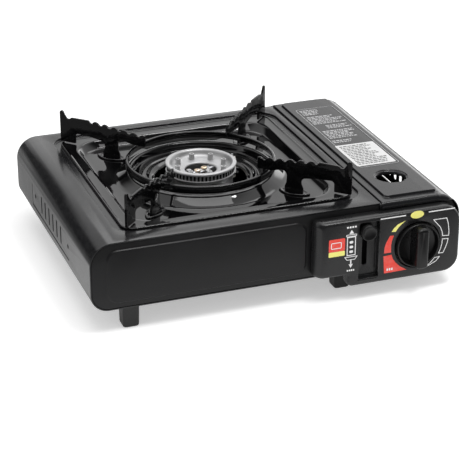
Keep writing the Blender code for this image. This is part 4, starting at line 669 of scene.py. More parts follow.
# ================================================================ tray and pan support
class STOVE_OT_tray(bpy.types.Operator):
    """Build the enamelled drip tray with its rolled rim, dish and hub"""

    bl_idname = "stove.tray"
    bl_label = "Drip tray"

    def execute(self, context):
        top = TRAY_HIGH.z
        base = tray_loop(0.0, 0.0)

        def hub(radius, height):
            return [Vector((BURNER.x, BURNER.y, height)) + (p - BURNER).normalized() * radius for p in base]

        rows = [tray_loop(0.0006, LEDGE + 0.0004), tray_loop(0.0001, LEDGE + 0.0008),
                tray_loop(0.0002, top - 0.0004),
                tray_loop(0.0009, top), tray_loop(0.0018, top - 0.0001), tray_loop(0.0026, top - 0.0007),
                tray_loop(0.0034, top - 0.0008), tray_loop(0.0070, top - 0.0007, corner=0.016)]
        for inset, height, corner in ((0.0098, top - 0.0007, 0.022), (0.0106, top - 0.0006, 0.026),
                                      (0.0114, top - 0.0010, 0.026), (0.0120, top - 0.0020, 0.026),
                                      (0.0152, TRAY_FLOOR + 0.0010, 0.024),
                                      (0.0160, TRAY_FLOOR + 0.0003, 0.024),
                                      (0.0175, TRAY_FLOOR, 0.023), (0.0210, TRAY_FLOOR, 0.022)):
            rows.append(tray_loop(inset, height, corner=corner))
        for radius, height in ((0.0800, 0.0), (0.0778, 0.0003), (0.0758, 0.0014), (0.0702, 0.0054),
                               (0.0688, 0.0066),
                               (0.0676, 0.0073), (0.0664, 0.0075), (0.0652, 0.0074), (0.0644, 0.0068),
                               (0.0639, 0.0058),
                               (0.0630, 0.0020), (0.0625, 0.0007), (0.0616, 0.0001), (0.0562, 0.0),
                               (0.0554, 0.0005),
                               (0.0546, 0.0007), (0.0530, 0.0007), (0.0522, 0.0001), (0.0492, 0.0),
                               (0.0484, 0.0006),
                               (0.0462, 0.0008), (0.0452, 0.0003), (0.0436, -0.0003), (0.0425, -0.0010),
                               (0.0420, -0.0022)):
            rows.append(hub(radius, TRAY_FLOOR + height))
        piece("enamel_tray", loft(rows), finish("tray_enamel"), SUPPORT, "enamel", ["drip_tray"],
              sheet=0.0006, smooth=60.0)
        return {"FINISHED"}


class STOVE_OT_support_ring(bpy.types.Operator):
    """Build the pressed ring that carries the inner ends of the arms"""

    bl_idname = "stove.support_ring"
    bl_label = "Support ring"

    def execute(self, context):
        outer = (RING_HIGH.x - RING_LOW.x) / 2.0
        inner = outer - 0.0035
        top, low = RING_HIGH.z, RING_LOW.z
        section = [(outer - 0.0012, low + 0.0002), (outer - 0.0006, low), (outer, low + 0.0005),
                   (outer - 0.0001, low + 0.0030),
                   (outer - 0.0004, top - 0.0014), (outer - 0.0007, top - 0.0006),
                   (outer - 0.0013, top - 0.0001),
                   (outer - 0.0019, top), (inner + 0.0010, top), (inner + 0.0004, top - 0.0002),
                   (inner, top - 0.0008),
                   (inner + 0.0003, top - 0.0014), (inner + 0.0009, top - 0.0014),
                   (outer - 0.0022, top - 0.0014),
                   (outer - 0.0016, top - 0.0022)]
        piece("support_ring", turned(section, 128, BURNER, ring=True), finish("glass_enamel"), SUPPORT,
              "enamel",
              ["trivet_ring"], smooth=70.0)
        return {"FINISHED"}


ARM_OUTER = 0.1495
ARM_INNER = 0.0575
ARM_REST = TOP + 0.0255
ARM_TEETH = 6
MID_LEG = (0.0870, 0.1010)
OUTER_LEG = 0.1330


def arm_outline():
    """One arm in its own plane, as (radius, height) points."""
    base = TRAY_HIGH.z + GAP
    floor = TRAY_FLOOR + GAP
    tip = ARM_TIP
    rest = ARM_REST
    outer, inner = ARM_OUTER, ARM_INNER
    points = [(outer - 0.0006, base), (outer, base + 0.0010), (outer, tip - 0.0030)]
    points += arc(outer - 0.0021, tip - 0.0021, 0.0021, 0.0, 160.0, 8)
    points += [(outer - 0.0052, rest + 0.0016)]
    points += arc(outer - 0.0092, rest + 0.0010, 0.0030, -20.0, -150.0, 7)
    points += [(outer - 0.0138, rest - 0.0002), (outer - 0.0310, rest)]
    pitch = (outer - 0.0310 - inner) / ARM_TEETH
    for i in range(ARM_TEETH):
        start = outer - 0.0310 - pitch * i
        fall = 0.0055 * (i + 0.45) / ARM_TEETH
        for share, drop in ((0.10, 0.0007), (0.22, 0.0019), (0.32, 0.0023), (0.42, 0.0018), (0.56, 0.0004),
                            (0.68, 0.0), (0.84, 0.0001), (0.97, 0.0006)):
            points.append((start - pitch * share, rest - fall - drop))
    ring_top = RING_HIGH.z + GAP
    points += [(inner + 0.0004, rest - 0.0078), (inner, rest - 0.0084), (inner, ring_top + 0.0006),
               (inner + 0.0006, ring_top), (0.0712, ring_top)]
    arch = TOP + 0.0120
    points += arc(MID_LEG[0] - 0.0048, arch - 0.0048, 0.0048, 95.0, 0.0, 7)
    points += [(0.0866, TOP + 0.0010), (0.0850, TOP - 0.0030), (0.0850, floor + 0.0004), (0.0856, floor),
               (0.1024, floor), (0.1030, floor + 0.0004), (0.1030, TOP - 0.0030), (0.1012, TOP + 0.0010)]
    arch = TOP + 0.0100
    points += arc(MID_LEG[1] + 0.0050, arch - 0.0074, 0.0050, 180.0, 95.0, 8)
    points += [(0.1160, arch - 0.0008)]
    points += arc(OUTER_LEG - 0.0030, arch - 0.0030, 0.0030, 90.0, 0.0, 6)
    points += [(OUTER_LEG, base + 0.0004), (OUTER_LEG + 0.0006, base)]
    return points


class STOVE_OT_support_arms(bpy.types.Operator):
    """Build the four toothed arms and the lens-shaped tabs they stand on"""

    bl_idname = "stove.support_arms"
    bl_label = "Support arms"

    def execute(self, context):
        edge = context.scene.stove_sizes.arm_edge
        for key, angle in ARM_ANGLES.items():
            turn = Matrix.Translation(BURNER) @ Matrix.Rotation(math.radians(angle), 4, "Z")
            arm = slab(arm_outline(), "xz", -0.0010, 0.0010)
            arm.transform(turn)
            piece(f"support_arm_{key}", arm, finish("glass_enamel"), SUPPORT, "enamel", [f"trivet_arm_{key}"],
                  edge=edge, segments=3, angle=40.0, smooth=60.0)
            rows = []
            for share, height in ((1.0, 0.0001), (1.03, 0.0007), (1.0, 0.0014), (0.94, 0.0017), (0.84, 0.0016),
                                  (0.78, 0.0011), (0.74, 0.0009)):
                lens = []
                for i in range(48):
                    t = 2.0 * math.pi * i / 48.0
                    wide = 0.0074 * math.copysign(abs(math.sin(t)) ** 1.5, math.sin(t))
                    lens.append(turn @ Vector((0.0945 + 0.0150 * share * math.cos(t), wide * share,
                                               TRAY_FLOOR + height)))
                rows.append(lens)
            piece(f"arm_tab_{key}", loft(rows, True, True), finish("glass_enamel"), SUPPORT, "enamel",
                  smooth=60.0)
        return {"FINISHED"}


# ================================================================ burner
def burner_ring(ports):
    """The turned head with a row of flame ports below its rim."""
    rim = (HEAD_HIGH.x - HEAD_LOW.x) / 2.0
    top, low = HEAD_HIGH.z, HEAD_LOW.z
    side = rim - 0.0016
    cut = 0.0022
    plain = [(rim - 0.0040, low), (rim - 0.0030, low + 0.0002), (rim - 0.0026, low + 0.0010),
             (rim - 0.0026, top - 0.0086),
             (rim - 0.0010, top - 0.0084), (rim - 0.0006, top - 0.0080), (rim - 0.0008, top - 0.0076),
             (side, top - 0.0073)]
    crown = [(side, top - 0.0030), (rim - 0.0006, top - 0.0025), (rim, top - 0.0017),
             (rim - 0.0001, top - 0.0008),
             (rim - 0.0006, top - 0.0002), (rim - 0.0013, top), (0.0296, top), (0.0289, top - 0.0005),
             (0.0283, top - 0.0018), (0.0276, top - 0.0038), (0.0264, top - 0.0053), (0.0244, top - 0.0061),
             (0.0200, top - 0.0067), (0.0162, top - 0.0071), (0.0152, top - 0.0073), (0.0147, top - 0.0078),
             (0.0145, top - 0.0085), (0.0150, top - 0.0087), (0.0270, top - 0.0086), (0.0275, low)]
    angles = []
    width = math.radians(360.0 / ports) * 0.46
    for i in range(ports):
        middle = math.radians(360.0 / ports) * (i + 0.5)
        angles += [(middle - width / 2.0 - 0.004, False), (middle - width / 2.0, True),
                   (middle + width / 2.0, True), (middle + width / 2.0 + 0.004, False)]

    def row(radius, height, carved=False):
        return [Vector((math.cos(a) * (radius - (cut if carved and slot else 0.0)),
                        math.sin(a) * (radius - (cut if carved and slot else 0.0)), height)) + BURNER
                for a, slot in angles]

    rows = [row(r, h) for r, h in plain]
    rows += [row(side, top - 0.0072, True), row(side, top - 0.0031, True)]
    rows += [row(r, h) for r, h in crown]
    return loft(rows, ring=True)


class STOVE_OT_burner(bpy.types.Operator):
    """Build the burner head, its posts, the bridge, its screws and the bowl"""

    bl_idname = "stove.burner"
    bl_label = "Burner"

    def execute(self, context):
        metal = finish("cast_aluminium")
        crown = piece("burner_crown", burner_ring(context.scene.stove_sizes.ports), metal, "body",
                      "burner_aluminium",
                      ["burner_head"], smooth=35.0)
        # The faces of the flame-port slots take a near-black finish: painted shade in the slots.
        crown.data.materials.append(finish("port_dark"))
        for face in crown.data.polygons:
            out = (face.center - BURNER).xy.length
            if 0.0285 < out < 0.0312 and HEAD_HIGH.z - 0.0073 < face.center.z < HEAD_HIGH.z - 0.0030:
                face.material_index = 1
        dish = HEAD_HIGH.z - 0.0062
        for i in range(8):
            angle = math.radians(45.0 * i + 2.5)
            spot = BURNER + Vector((math.cos(angle), math.sin(angle), 0.0)) * 0.0228
            profile = [(0.0010, dish - 0.0012), (0.0027, dish - 0.0012), (0.0028, dish + 0.0002),
                       (0.0026, dish + 0.0008),
                       (0.0024, dish + 0.0046), (0.0021, dish + 0.0051), (0.0014, dish + 0.0051),
                       (0.0011, dish + 0.0047)]
            piece(f"burner_post_{i + 1}", turned(profile, 28, spot, ring=True), metal, "body",
                  "burner_aluminium",
                  smooth=50.0)
        low_base = BOWL_BOTTOM + 0.003
        for i, (x, y) in enumerate(((-0.0102, 0.0038), (0.0064, -0.0033))):
            spot = BURNER + Vector((x, y, 0.0))
            profile = [(0.0009, low_base), (0.0024, low_base), (0.0024, dish - 0.0030), (0.0022, dish - 0.0026),
                       (0.0013, dish - 0.0026), (0.0009, dish - 0.0030)]
            piece(f"bowl_boss_{i + 1}", turned(profile, 28, spot, ring=True), metal, "body", "burner_aluminium",
                  smooth=50.0)
        turn = Matrix.Translation(BURNER) @ Matrix.Rotation(math.radians(28.0), 4, "Z")
        strap_low, strap_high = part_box("burner_bridge")
        strap = slab(rounded(-0.0262, 0.0262, -0.0035, 0.0035, 0.0020, 6), "xy", strap_low.z, strap_high.z)
        strap.transform(turn)
        rib = slab(rounded(-0.0110, 0.0110, -0.0012, 0.0012, 0.0011, 6), "xy", strap_high.z - 0.0004,
                   strap_high.z + 0.0007)
        rib.transform(turn)
        piece("hold_down_bridge", strap, finish("zinc_plate"), "body", "zinc_steel", ["burner_bridge"],
              joins=[rib], edge=0.0003)
        for i in (1, 2):
            low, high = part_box(f"bridge_screw_{i}")
            spot = Vector(((low.x + high.x) / 2.0, (low.y + high.y) / 2.0, 0.0))
            head = high.z
            profile = [(0.0015, low.z), (0.0015, head - 0.0018), (0.0030, head - 0.0018),
                       (0.0031, head - 0.0008),
                       (0.0027, head - 0.0002), (0.0017, head)]
            slots = []
            for a in (30.0 + 50.0 * i, 120.0 + 50.0 * i):
                bar = slab(rounded(-0.0020, 0.0020, -0.0003, 0.0003, 0.0002, 2), "xy", head - 0.0009,
                           head + 0.001)
                bar.transform(Matrix.Translation(spot) @ Matrix.Rotation(math.radians(a), 4, "Z"))
                slots.append(bar)
            piece(f"bridge_screw_head_{i}", turned(profile, 32, spot), finish("turned_brass"), "body", "brass",
                  [f"bridge_screw_{i}"], cuts=slots, smooth=50.0)
        keep_node("burner_base", "cast_aluminium", 0.0004)
        keep_node("mixing_tube", "cast_aluminium")
        keep_node("burner_bracket", "zinc_plate", 0.0003)
        return {"FINISHED"}


class STOVE_OT_spark_parts(bpy.types.Operator):
    """Finish the spark electrode, its bracket and lead, and the striker"""

    bl_idname = "stove.spark_parts"
    bl_label = "Spark parts"

    def execute(self, context):
        for node, name, edge in (("electrode_insulator", "glazed_ceramic", 0.0003),
                                 ("electrode_wire", "zinc_plate", 0.0),
                                 ("electrode_bracket", "zinc_plate", 0.0002),
                                 ("ignition_lead", "silicone", 0.0),
                                 ("piezo_igniter", "knob_plastic", 0.0004)):
            keep_node(node, name, edge)
        return {"FINISHED"}


class STOVE_OT_gas_parts(bpy.types.Operator):
    """Finish the regulator, the cartridge cradle, the carriage and the lock's cam plate"""

    bl_idname = "stove.gas_parts"
    bl_label = "Gas parts"

    def execute(self, context):
        for node, name, edge in (("regulator_body", "diecast", 0.0005), ("gas_jet", "turned_brass", 0.0002),
                                 ("valve_stem", "turned_brass", 0.0002),
                                 ("cartridge_cradle", "satin_paint", 0.0003)):
            keep_node(node, name, edge)
        for node in ("partition_wall", "cartridge_carriage", "carriage_rivet_1", "carriage_rivet_2",
                     "lever_slide",
                     "regulator_screw_1", "regulator_screw_2", "lid_hinge_pin_front", "lid_hinge_pin_back",
                     "panel_screw_1", "panel_screw_2", "panel_screw_3"):
            keep_node(node, "zinc_plate", 0.0002)
        return {"FINISHED"}


# ================================================================ lid
LID_LOUVRE_PITCH = 0.0117
LID_LOUVRE_WIDTH = 0.0062
HOLE_CUT_RADIUS = 0.0154
FOLD_DROP = 0.0060
EDGE_ROLL = 0.0042


def dense(start, end, fine_start, fine_end, fine, coarse):
    """Grid places, close together near both ends and wider apart between them."""
    found = [start]
    while found[-1] < end - 1e-6:
        here = found[-1]
        step = fine if here < start + fine_start or here > end - fine_end - coarse else coarse
        found.append(min(end, here + step))
    return found


def lid_surface(press):
    """The lid's outer face: edge strip, raised panel, shoulder, skirt and folded ends."""
    strip = TOP + 0.0010
    raised_top = LID_HIGH.z
    front, back = LID_LOW.y, LID_HIGH.y
    section = [(LID_LEFT, strip - 0.0050), (LID_LEFT, strip - 0.0010)]
    section += arc(LID_LEFT + 0.0008, strip - 0.0008, 0.0008, 180.0, 90.0, 3)[1:]
    for x in dense(LID_LEFT + 0.0012, RIGHT - CORNER_TOP, 0.016, 0.012, 0.0004, 0.0020):
        section.append((x, strip - 0.0010 * max(0.0, (x - LID_LEFT - 0.045) / 0.0304)))
    section += arc(RIGHT - CORNER_TOP, TOP - CORNER_TOP, CORNER_TOP, 88.0, 0.0, 22)
    section += [(RIGHT, 0.058), (RIGHT, 0.050), (RIGHT, LID_LOW.z)]
    x0, x1 = LID_LEFT + 0.0054, RIGHT - 0.0165
    y0, y1 = front + 0.0085, back - 0.0060
    corner = 0.0060
    slope = 0.0014

    def rise(x, y):
        """How much of the pressing a point has, from its distance inside the panel's outline."""
        cx, cy = (x0 + x1) / 2.0, (y0 + y1) / 2.0
        dx = abs(x - cx) - (x1 - x0) / 2.0 + corner
        dy = abs(y - cy) - (y1 - y0) / 2.0 + corner
        outside = math.hypot(max(dx, 0.0), max(dy, 0.0)) + min(max(dx, dy), 0.0) - corner
        t = min(1.0, max(0.0, -outside / slope))
        return t * t * (3.0 - 2.0 * t)

    def point(x, z, y, drop=0.0):
        height = z
        if x < RIGHT - CORNER_TOP * 0.55 and x > LID_LEFT + 0.003:
            height = z + (raised_top - strip) * rise(x, y) * (press / 0.0020)
            height = min(height, raised_top)
        fold = strip - FOLD_DROP
        if drop > 0.0 and height > fold:
            height = max(fold, height - drop)
        return Vector((x, y, height))

    rows = []
    for drop in (FOLD_DROP, 0.0050, EDGE_ROLL):
        rows.append([point(x, z, front, drop) for x, z in section])
    for t in (0.2, 0.4, 0.6, 0.8, 1.0, 1.2, 1.4, 1.57):
        y, drop = front + EDGE_ROLL * (1.0 - math.cos(t)), EDGE_ROLL * (1.0 - math.sin(t))
        rows.append([point(x, z, y, drop) for x, z in section])
    for y in dense(front + EDGE_ROLL + 0.0004, back - EDGE_ROLL - 0.0004, 0.018, 0.013, 0.0004, 0.0060):
        rows.append([point(x, z, y) for x, z in section])
    for t in (1.57, 1.4, 1.2, 1.0, 0.8, 0.6, 0.4, 0.2):
        y, drop = back - EDGE_ROLL * (1.0 - math.cos(t)), EDGE_ROLL * (1.0 - math.sin(t))
        rows.append([point(x, z, y, drop) for x, z in section])
    for drop in (EDGE_ROLL, 0.0050, FOLD_DROP):
        rows.append([point(x, z, back, drop) for x, z in section])
    return loft(rows, closed=False)


def print_bars(x0, x1, y0, y1, z, rows, seed):
    """Rows of short dashes that stand for small print, with no lettering."""
    dice = random.Random(seed)
    bm = bmesh.new()
    pitch = (y1 - y0) / rows
    for i in range(rows):
        y = y1 - pitch * (i + 0.75)
        x = x0
        stop = x1 - dice.uniform(0.0, (x1 - x0) * 0.35)
        while x < stop:
            length = dice.uniform(0.0010, 0.0042)
            far, high = min(x + length, stop), y + pitch * 0.5
            corners = [(x, y), (far, y), (far, high), (x, high)]
            bm.faces.new([bm.verts.new((a, b, z)) for a, b in corners])
            x += length + 0.0008
    return bm


def frame_lines(x0, x1, y0, y1, z, width, corner=0.003):
    """A thin printed frame."""
    outer = rounded(x0, x1, y0, y1, corner, 6)
    inner = rounded(x0 + width, x1 - width, y0 + width, y1 - width, corner - width, 6)
    return loft([[Vector((a, b, z)) for a, b in line] for line in (outer, inner)])


class STOVE_OT_lid(bpy.types.Operator):
    """Build the hinged lid with its raised panel, hole, vents and printed label"""

    bl_idname = "stove.lid"
    bl_label = "Lid"

    def execute(self, context):
        paint = finish("satin_paint")
        cuts = slot_cutters(MIDDLE + 0.004, LID_LOUVRE_PITCH, LID_LOUVRE_WIDTH, RIGHT)
        cuts.append(turned([(HOLE_CUT_RADIUS, LID_HIGH.z - 0.006), (HOLE_CUT_RADIUS, LID_HIGH.z + 0.004)], 64,
                           Vector((LID_HOLE.x, LID_HOLE.y, 0.0))))
        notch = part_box("lid_hinge_pin_front")[0].z + 0.011
        for a, b in ((LID_LOW.y - 0.002, FRONT + 0.0015), (BACK - 0.0015, LID_HIGH.y + 0.002)):
            cuts.append(slab([(RIGHT - 0.004, a), (RIGHT + 0.002, a), (RIGHT + 0.002, b), (RIGHT - 0.004, b)],
                             "xy",
                             LID_LOW.z - 0.002, notch))
        for a, b in ((LID_LOW.y + SHEET + GAP, FRONT + 0.004), (BACK - 0.004, LID_HIGH.y - SHEET - GAP)):
            x0, x1 = LID_LEFT - 0.002, LID_LEFT + SHEET + GAP
            cuts.append(slab([(x0, a), (x1, a), (x1, b), (x0, b)], "xy", TOP - 0.007, TOP - GAP))
        ears = []
        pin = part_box("lid_hinge_pin_front")
        pin_x, pin_z = (pin[0].x + pin[1].x) / 2.0, (pin[0].z + pin[1].z) / 2.0
        for start in (FRONT + 0.0030, BACK - 0.0042):
            ears.append(slab(rounded(pin_x - 0.005, RIGHT - SHEET / 2.0, pin_z - 0.005, pin_z + 0.009, 0.003,
                                     8),
                             "xz", start, start + 0.0012))
            cuts.append(turned([(0.0023, -start - 0.003), (0.0023, -start + 0.001)], 24,
                               Vector((pin_x, 0.0, pin_z)), "-y"))
        piece("bay_lid", lid_surface(context.scene.stove_sizes.lid_press), paint, "lid", "painted_steel",
              ["gas_lid"],
              cuts=cuts, joins=ears, sheet=SHEET * 0.8, smooth=35.0)
        top = LID_HIGH.z
        funnel = [(0.0160, top - 0.0001), (0.0157, top + 0.00005), (0.0152, top - 0.0002),
                  (0.0147, top - 0.0010),
                  (0.0141, top - 0.0022), (0.0137, top - 0.0030), (0.0135, top - 0.0042),
                  (0.0130, top - 0.0042),
                  (0.0130, top - 0.0030), (0.0137, top - 0.0014), (0.0146, top - 0.0009),
                  (0.0160, top - 0.0008)]
        piece("lid_hole_rim", turned(funnel, 72, Vector((LID_HOLE.x, LID_HOLE.y, 0.0)), ring=True), paint,
              "lid",
              "painted_steel", smooth=70.0)
        skin = 0.00008
        z = top + 0.00002
        label = together(frame_lines(0.1072, 0.1470, -0.0450, 0.1140, z, 0.00045),
                         print_bars(0.1100, 0.1300, 0.0960, 0.1110, z, 4, 3),
                         print_bars(0.1100, 0.1440, 0.0700, 0.0920, z, 6, 5),
                         print_bars(0.1190, 0.1440, 0.0560, 0.0660, z, 3, 8),
                         print_bars(0.1100, 0.1440, 0.0300, 0.0520, z, 6, 13),
                         print_bars(0.1090, 0.1300, 0.0180, 0.0260, z, 2, 21))
        piece("lid_print", label, finish("grey_ink"), "lid", "painted_steel", sheet=-skin)
        sticker = slab(rounded(0.1060, 0.1450, -0.0420, 0.0115, 0.0015, 4), "xy", z, z + 0.00012)
        piece("lid_sticker", sticker, finish("white_ink"), "lid", "painted_steel", smooth=30.0)
        lines = print_bars(0.1090, 0.1425, -0.0395, 0.0090, z + 0.00014, 13, 34)
        piece("sticker_print", lines, finish("dark_ink"), "lid", "painted_steel", sheet=-skin)
        return {"FINISHED"}


# ================================================================ controls
RECESS = (0.0690, 0.0880, 0.0210, 0.0745)
RECESS_DEPTH = 0.0062
SLOT_LOW, SLOT_HIGH = 0.0315, 0.0695
WELL_RADIUS = 0.0220


def fascia_outline(inset, left_inset):
    """The outline of the control fascia, moved in by a wall, and by more at its left end."""
    left = FASCIA_LOW.x + left_inset
    right = FASCIA_HIGH.x - inset
    top = FASCIA_HIGH.z - inset
    low = FASCIA_LOW.z + inset
    step = FASCIA_LOW.z + 0.0115 + inset
    step_x = FASCIA_LOW.x + 0.0315 + inset
    corner, shoulder, small = 0.015 - inset, 0.017 - inset, 0.0045
    points = [(left + small, step), (step_x - 0.002, step)]
    points += arc(step_x - 0.002, step - 0.002, 0.002, 90.0, 0.0, 4)[1:]
    points += arc(step_x + 0.0035, low + 0.0035, 0.0035, 180.0, 270.0, 5)
    points += arc(right - corner, low + corner, corner, -90.0, 0.0, 14)
    points += arc(right - shoulder, top - shoulder, shoulder, 0.0, 90.0, 14)
    points += arc(left + small, top - small, small, 90.0, 180.0, 8)
    points += arc(left + small, step + small, small, 180.0, 265.0, 8)
    return points


def ink_patch(points, lift=0.00006):
    """A flat printed patch on the fascia."""
    bm = bmesh.new()
    bm.faces.new([bm.verts.new((x, FACE - lift, z)) for x, z in points])
    return bm


def ink_outline(points, width, lift=0.00006):
    """A printed outline of constant width round a closed shape."""
    count = len(points)
    inner = []
    for i in range(count):
        a, b, c = (Vector(points[(i + k) % count]) for k in (-1, 0, 1))
        u, v = (b - a).normalized(), (c - b).normalized()
        n = (Vector((-u.y, u.x)) + Vector((-v.y, v.x))).normalized()
        scale = max(0.45, n.dot(Vector((-u.y, u.x))))
        inner.append(b + n * (width / scale))
    rows = [[Vector((p[0], FACE - lift, p[1])) for p in line] for line in (points, inner)]
    return loft(rows)


# Printed shapes round the knob: millimetres to the right of its axis and above it.
WEDGE_LARGE = ((13.9, 22.0), (27.6, 21.9), (29.4, 16.5), (30.6, 9.0), (30.7, 3.9), (23.8, 4.5), (23.4, 8.2),
               (21.4, 13.2))
WEDGE_MIDDLE = ((23.9, 2.1), (30.3, 1.5), (29.6, -2.4), (28.2, -7.0), (25.8, -12.3), (20.6, -12.0),
                (22.6, -7.4), (23.6, -3.0))
WEDGE_SMALL = ((22.9, -15.0), (19.2, -19.3), (13.6, -22.0), (8.6, -23.8), (13.3, -19.6), (17.4, -15.2))
YELLOW_PATCH = ((-25.9, 16.2), (-23.6, 19.4), (-20.0, 22.5), (-12.4, 25.1), (-15.9, 22.6), (-19.4, 19.4),
                (-22.1, 15.6))
HIGH_PATCH = ((-27.2, 12.5), (-23.4, 12.4), (-25.0, 8.0), (-25.8, 3.0), (-25.5, -3.7), (-32.3, -3.6),
              (-31.9, 2.0),
              (-30.6, 6.4))
START_PATCH = ((-32.7, -6.4), (-24.9, -6.0), (-23.6, -10.2), (-21.0, -14.0), (-16.1, -18.9), (-9.6, -22.9),
               (-31.5, -23.2))


def beside_knob(patch):
    """A patch given in millimetres from the knob's axis, in place."""
    return [(KNOB.x + a / 1000.0, KNOB.z + b / 1000.0) for a, b in patch]


def disc_outline(x, z, rx, rz, steps=40):
    """An ellipse."""
    return [(x + rx * math.cos(2 * math.pi * i / steps), z + rz * math.sin(2 * math.pi * i / steps))
            for i in range(steps)]


class STOVE_OT_fascia(bpy.types.Operator):
    """Build the moulded control fascia with its wells and printed marks"""

    bl_idname = "stove.fascia"
    bl_label = "Control fascia"

    def execute(self, context):
        back = FASCIA_HIGH.y
        levels = [(back, 0.0, 0.0), (FACE + 0.0085, 0.0, 0.0003), (FACE + 0.0060, 0.0001, 0.0012),
                  (FACE + 0.0040, 0.0002, 0.0024), (FACE + 0.0026, 0.0005, 0.0035),
                  (FACE + 0.0014, 0.0011, 0.0047),
                  (FACE + 0.0006, 0.0018, 0.0055), (FACE + 0.0001, 0.0027, 0.0063), (FACE, 0.0036, 0.0072)]
        rows = [[Vector((x, y, z)) for x, z in fascia_outline(a, b)] for y, a, b in levels]
        wall = 0.0022
        cuts = []
        x0, x1, z0, z1 = RECESS
        hollow = [slab(fascia_outline(wall + 0.0006, wall + 0.0040), "xz", FACE + wall + 0.0012, back + 0.002)]
        well = turned([(WELL_RADIUS + 0.0016, -FACE - 0.0062), (WELL_RADIUS + 0.0016, -FACE - 0.0012)], 64,
                      Vector((KNOB.x, 0.0, KNOB.z)), "-y")
        pocket = slab(rounded(x0 - 0.0016, x1 + 0.0016, z0 - 0.0016, z1 + 0.0014, 0.0015, 3), "xz",
                      FACE + 0.0012,
                      FACE + RECESS_DEPTH + 0.0016)
        cuts.append(slab(rounded(x0, x1, z0, z1, 0.0012, 4), "xz", FACE - 0.002, FACE + RECESS_DEPTH))
        cuts.append(turned([(WELL_RADIUS, -FACE - 0.0045), (WELL_RADIUS, -FACE + 0.002)], 96,
                           Vector((KNOB.x, 0.0, KNOB.z)), "-y"))
        cuts.append(turned([(0.004, -FACE - 0.014), (0.004, -FACE + 0.002)], 32, Vector((KNOB.x, 0.0, KNOB.z)),
                           "-y"))
        half = 0.00225
        cuts.append(slab(rounded(LEVER.x - half, LEVER.x + half, SLOT_LOW, SLOT_HIGH, 0.002, 5), "xz",
                         FACE - 0.001,
                         back + 0.001))
        made = plain_object("control_fascia", loft(rows, True, True))
        shape(made, cuts=hollow)
        shape(made, joins=[well, pocket])
        shape(made, cuts=cuts, edge=0.00045, segments=3, angle=50.0, smooth=45.0)
        dress(made, finish("fascia_plastic"), "body", ["control_panel"])
        rail = slab(rounded(x1 - 0.0006, x1 + 0.0008, 0.0250, 0.0640, 0.0004, 3), "xz", FACE - 0.0004,
                    FACE + 0.0008)
        shelf = slab(rounded(x0 - 0.0006, x1 - 0.0010, z0 - 0.0022, z0 - 0.0010, 0.0005, 3), "xz",
                     FACE - 0.0006,
                     FACE + 0.0008)
        piece("recess_rail", together(rail, shelf), finish("fascia_plastic"), "body", "panel_plastic",
              edge=0.0003, segments=2)

        def ink(name, colour, *parts):
            piece(name, together(*parts), finish(colour), "body", "panel_plastic", sheet=-0.00006)

        can_x = 0.0612
        can = [(can_x - 0.0042, 0.0455), (can_x + 0.0042, 0.0455), (can_x + 0.0042, 0.0635),
               (can_x - 0.0042, 0.0635)]
        cap = rounded(can_x - 0.0050, can_x + 0.0050, 0.0636, 0.0658, 0.0006, 3)
        foot = [(can_x - 0.0052, 0.0440), (can_x + 0.0052, 0.0440), (can_x + 0.0036, 0.0418),
                (can_x - 0.0036, 0.0418)]
        up = [(can_x - 0.0022, 0.0664), (can_x + 0.0022, 0.0664), (can_x, 0.0700)]
        down = [(can_x - 0.0020, 0.0372), (can_x, 0.0336), (can_x + 0.0020, 0.0372)]
        marks = [ink_outline(can, 0.0008), ink_outline(cap, 0.0006), ink_outline(foot, 0.0006), ink_patch(up),
                 ink_patch(down), ink_patch([(can_x - 0.0006, 0.0368), (can_x + 0.0006, 0.0368),
                                             (can_x + 0.0006, 0.0410), (can_x - 0.0006, 0.0410)])]
        for height in (0.0480, 0.0525, 0.0570):
            marks.append(ink_patch(rounded(can_x - 0.0017, can_x + 0.0017, height, height + 0.0024, 0.0009, 4)))
        for z, width in ((0.0718, 0.0100), (0.0304, 0.0076)):
            for i in range(4):
                x = can_x - width / 2.0 + width * (i + 0.15) / 4.0
                marks.append(ink_patch(rounded(x, x + width * 0.17, z, z + 0.0016, 0.0002, 2)))
        for a, b in ((0.0882, 0.1125), (0.1345, 0.1600)):
            marks.append(ink_patch([(a, 0.0754), (b, 0.0754), (b, 0.0764), (a, 0.0764)]))
        marks.append(ink_outline(rounded(0.0420, 0.0520, 0.0540, 0.0600, 0.0012, 4), 0.0007, 0.00014))
        on_x, on_z = 0.0960, 0.0248
        for i in range(3):
            marks.append(ink_patch(rounded(on_x + i * 0.0022, on_x + i * 0.0022 + 0.0014, on_z, on_z + 0.0024,
                                           0.0004, 3),
                                   0.00014))
        for patch in (WEDGE_LARGE, WEDGE_MIDDLE, WEDGE_SMALL):
            marks.append(ink_outline(beside_knob(patch)[::-1], 0.0007))
        ink("fascia_print_white", "white_ink", *marks)
        block = rounded(0.0400, 0.0552, 0.0513, 0.0632, 0.0012, 4)
        ink("fascia_print_red", "red_ink", ink_patch(block), ink_patch(beside_knob(HIGH_PATCH)),
            ink_patch(beside_knob(START_PATCH)))
        ink("fascia_print_yellow", "yellow_ink", ink_patch(rounded(0.0400, 0.0552, 0.0466, 0.0512, 0.0008, 4)),
            ink_patch(disc_outline(0.1235, 0.0750, 0.0064, 0.0036)), ink_patch(beside_knob(YELLOW_PATCH)))
        return {"FINISHED"}


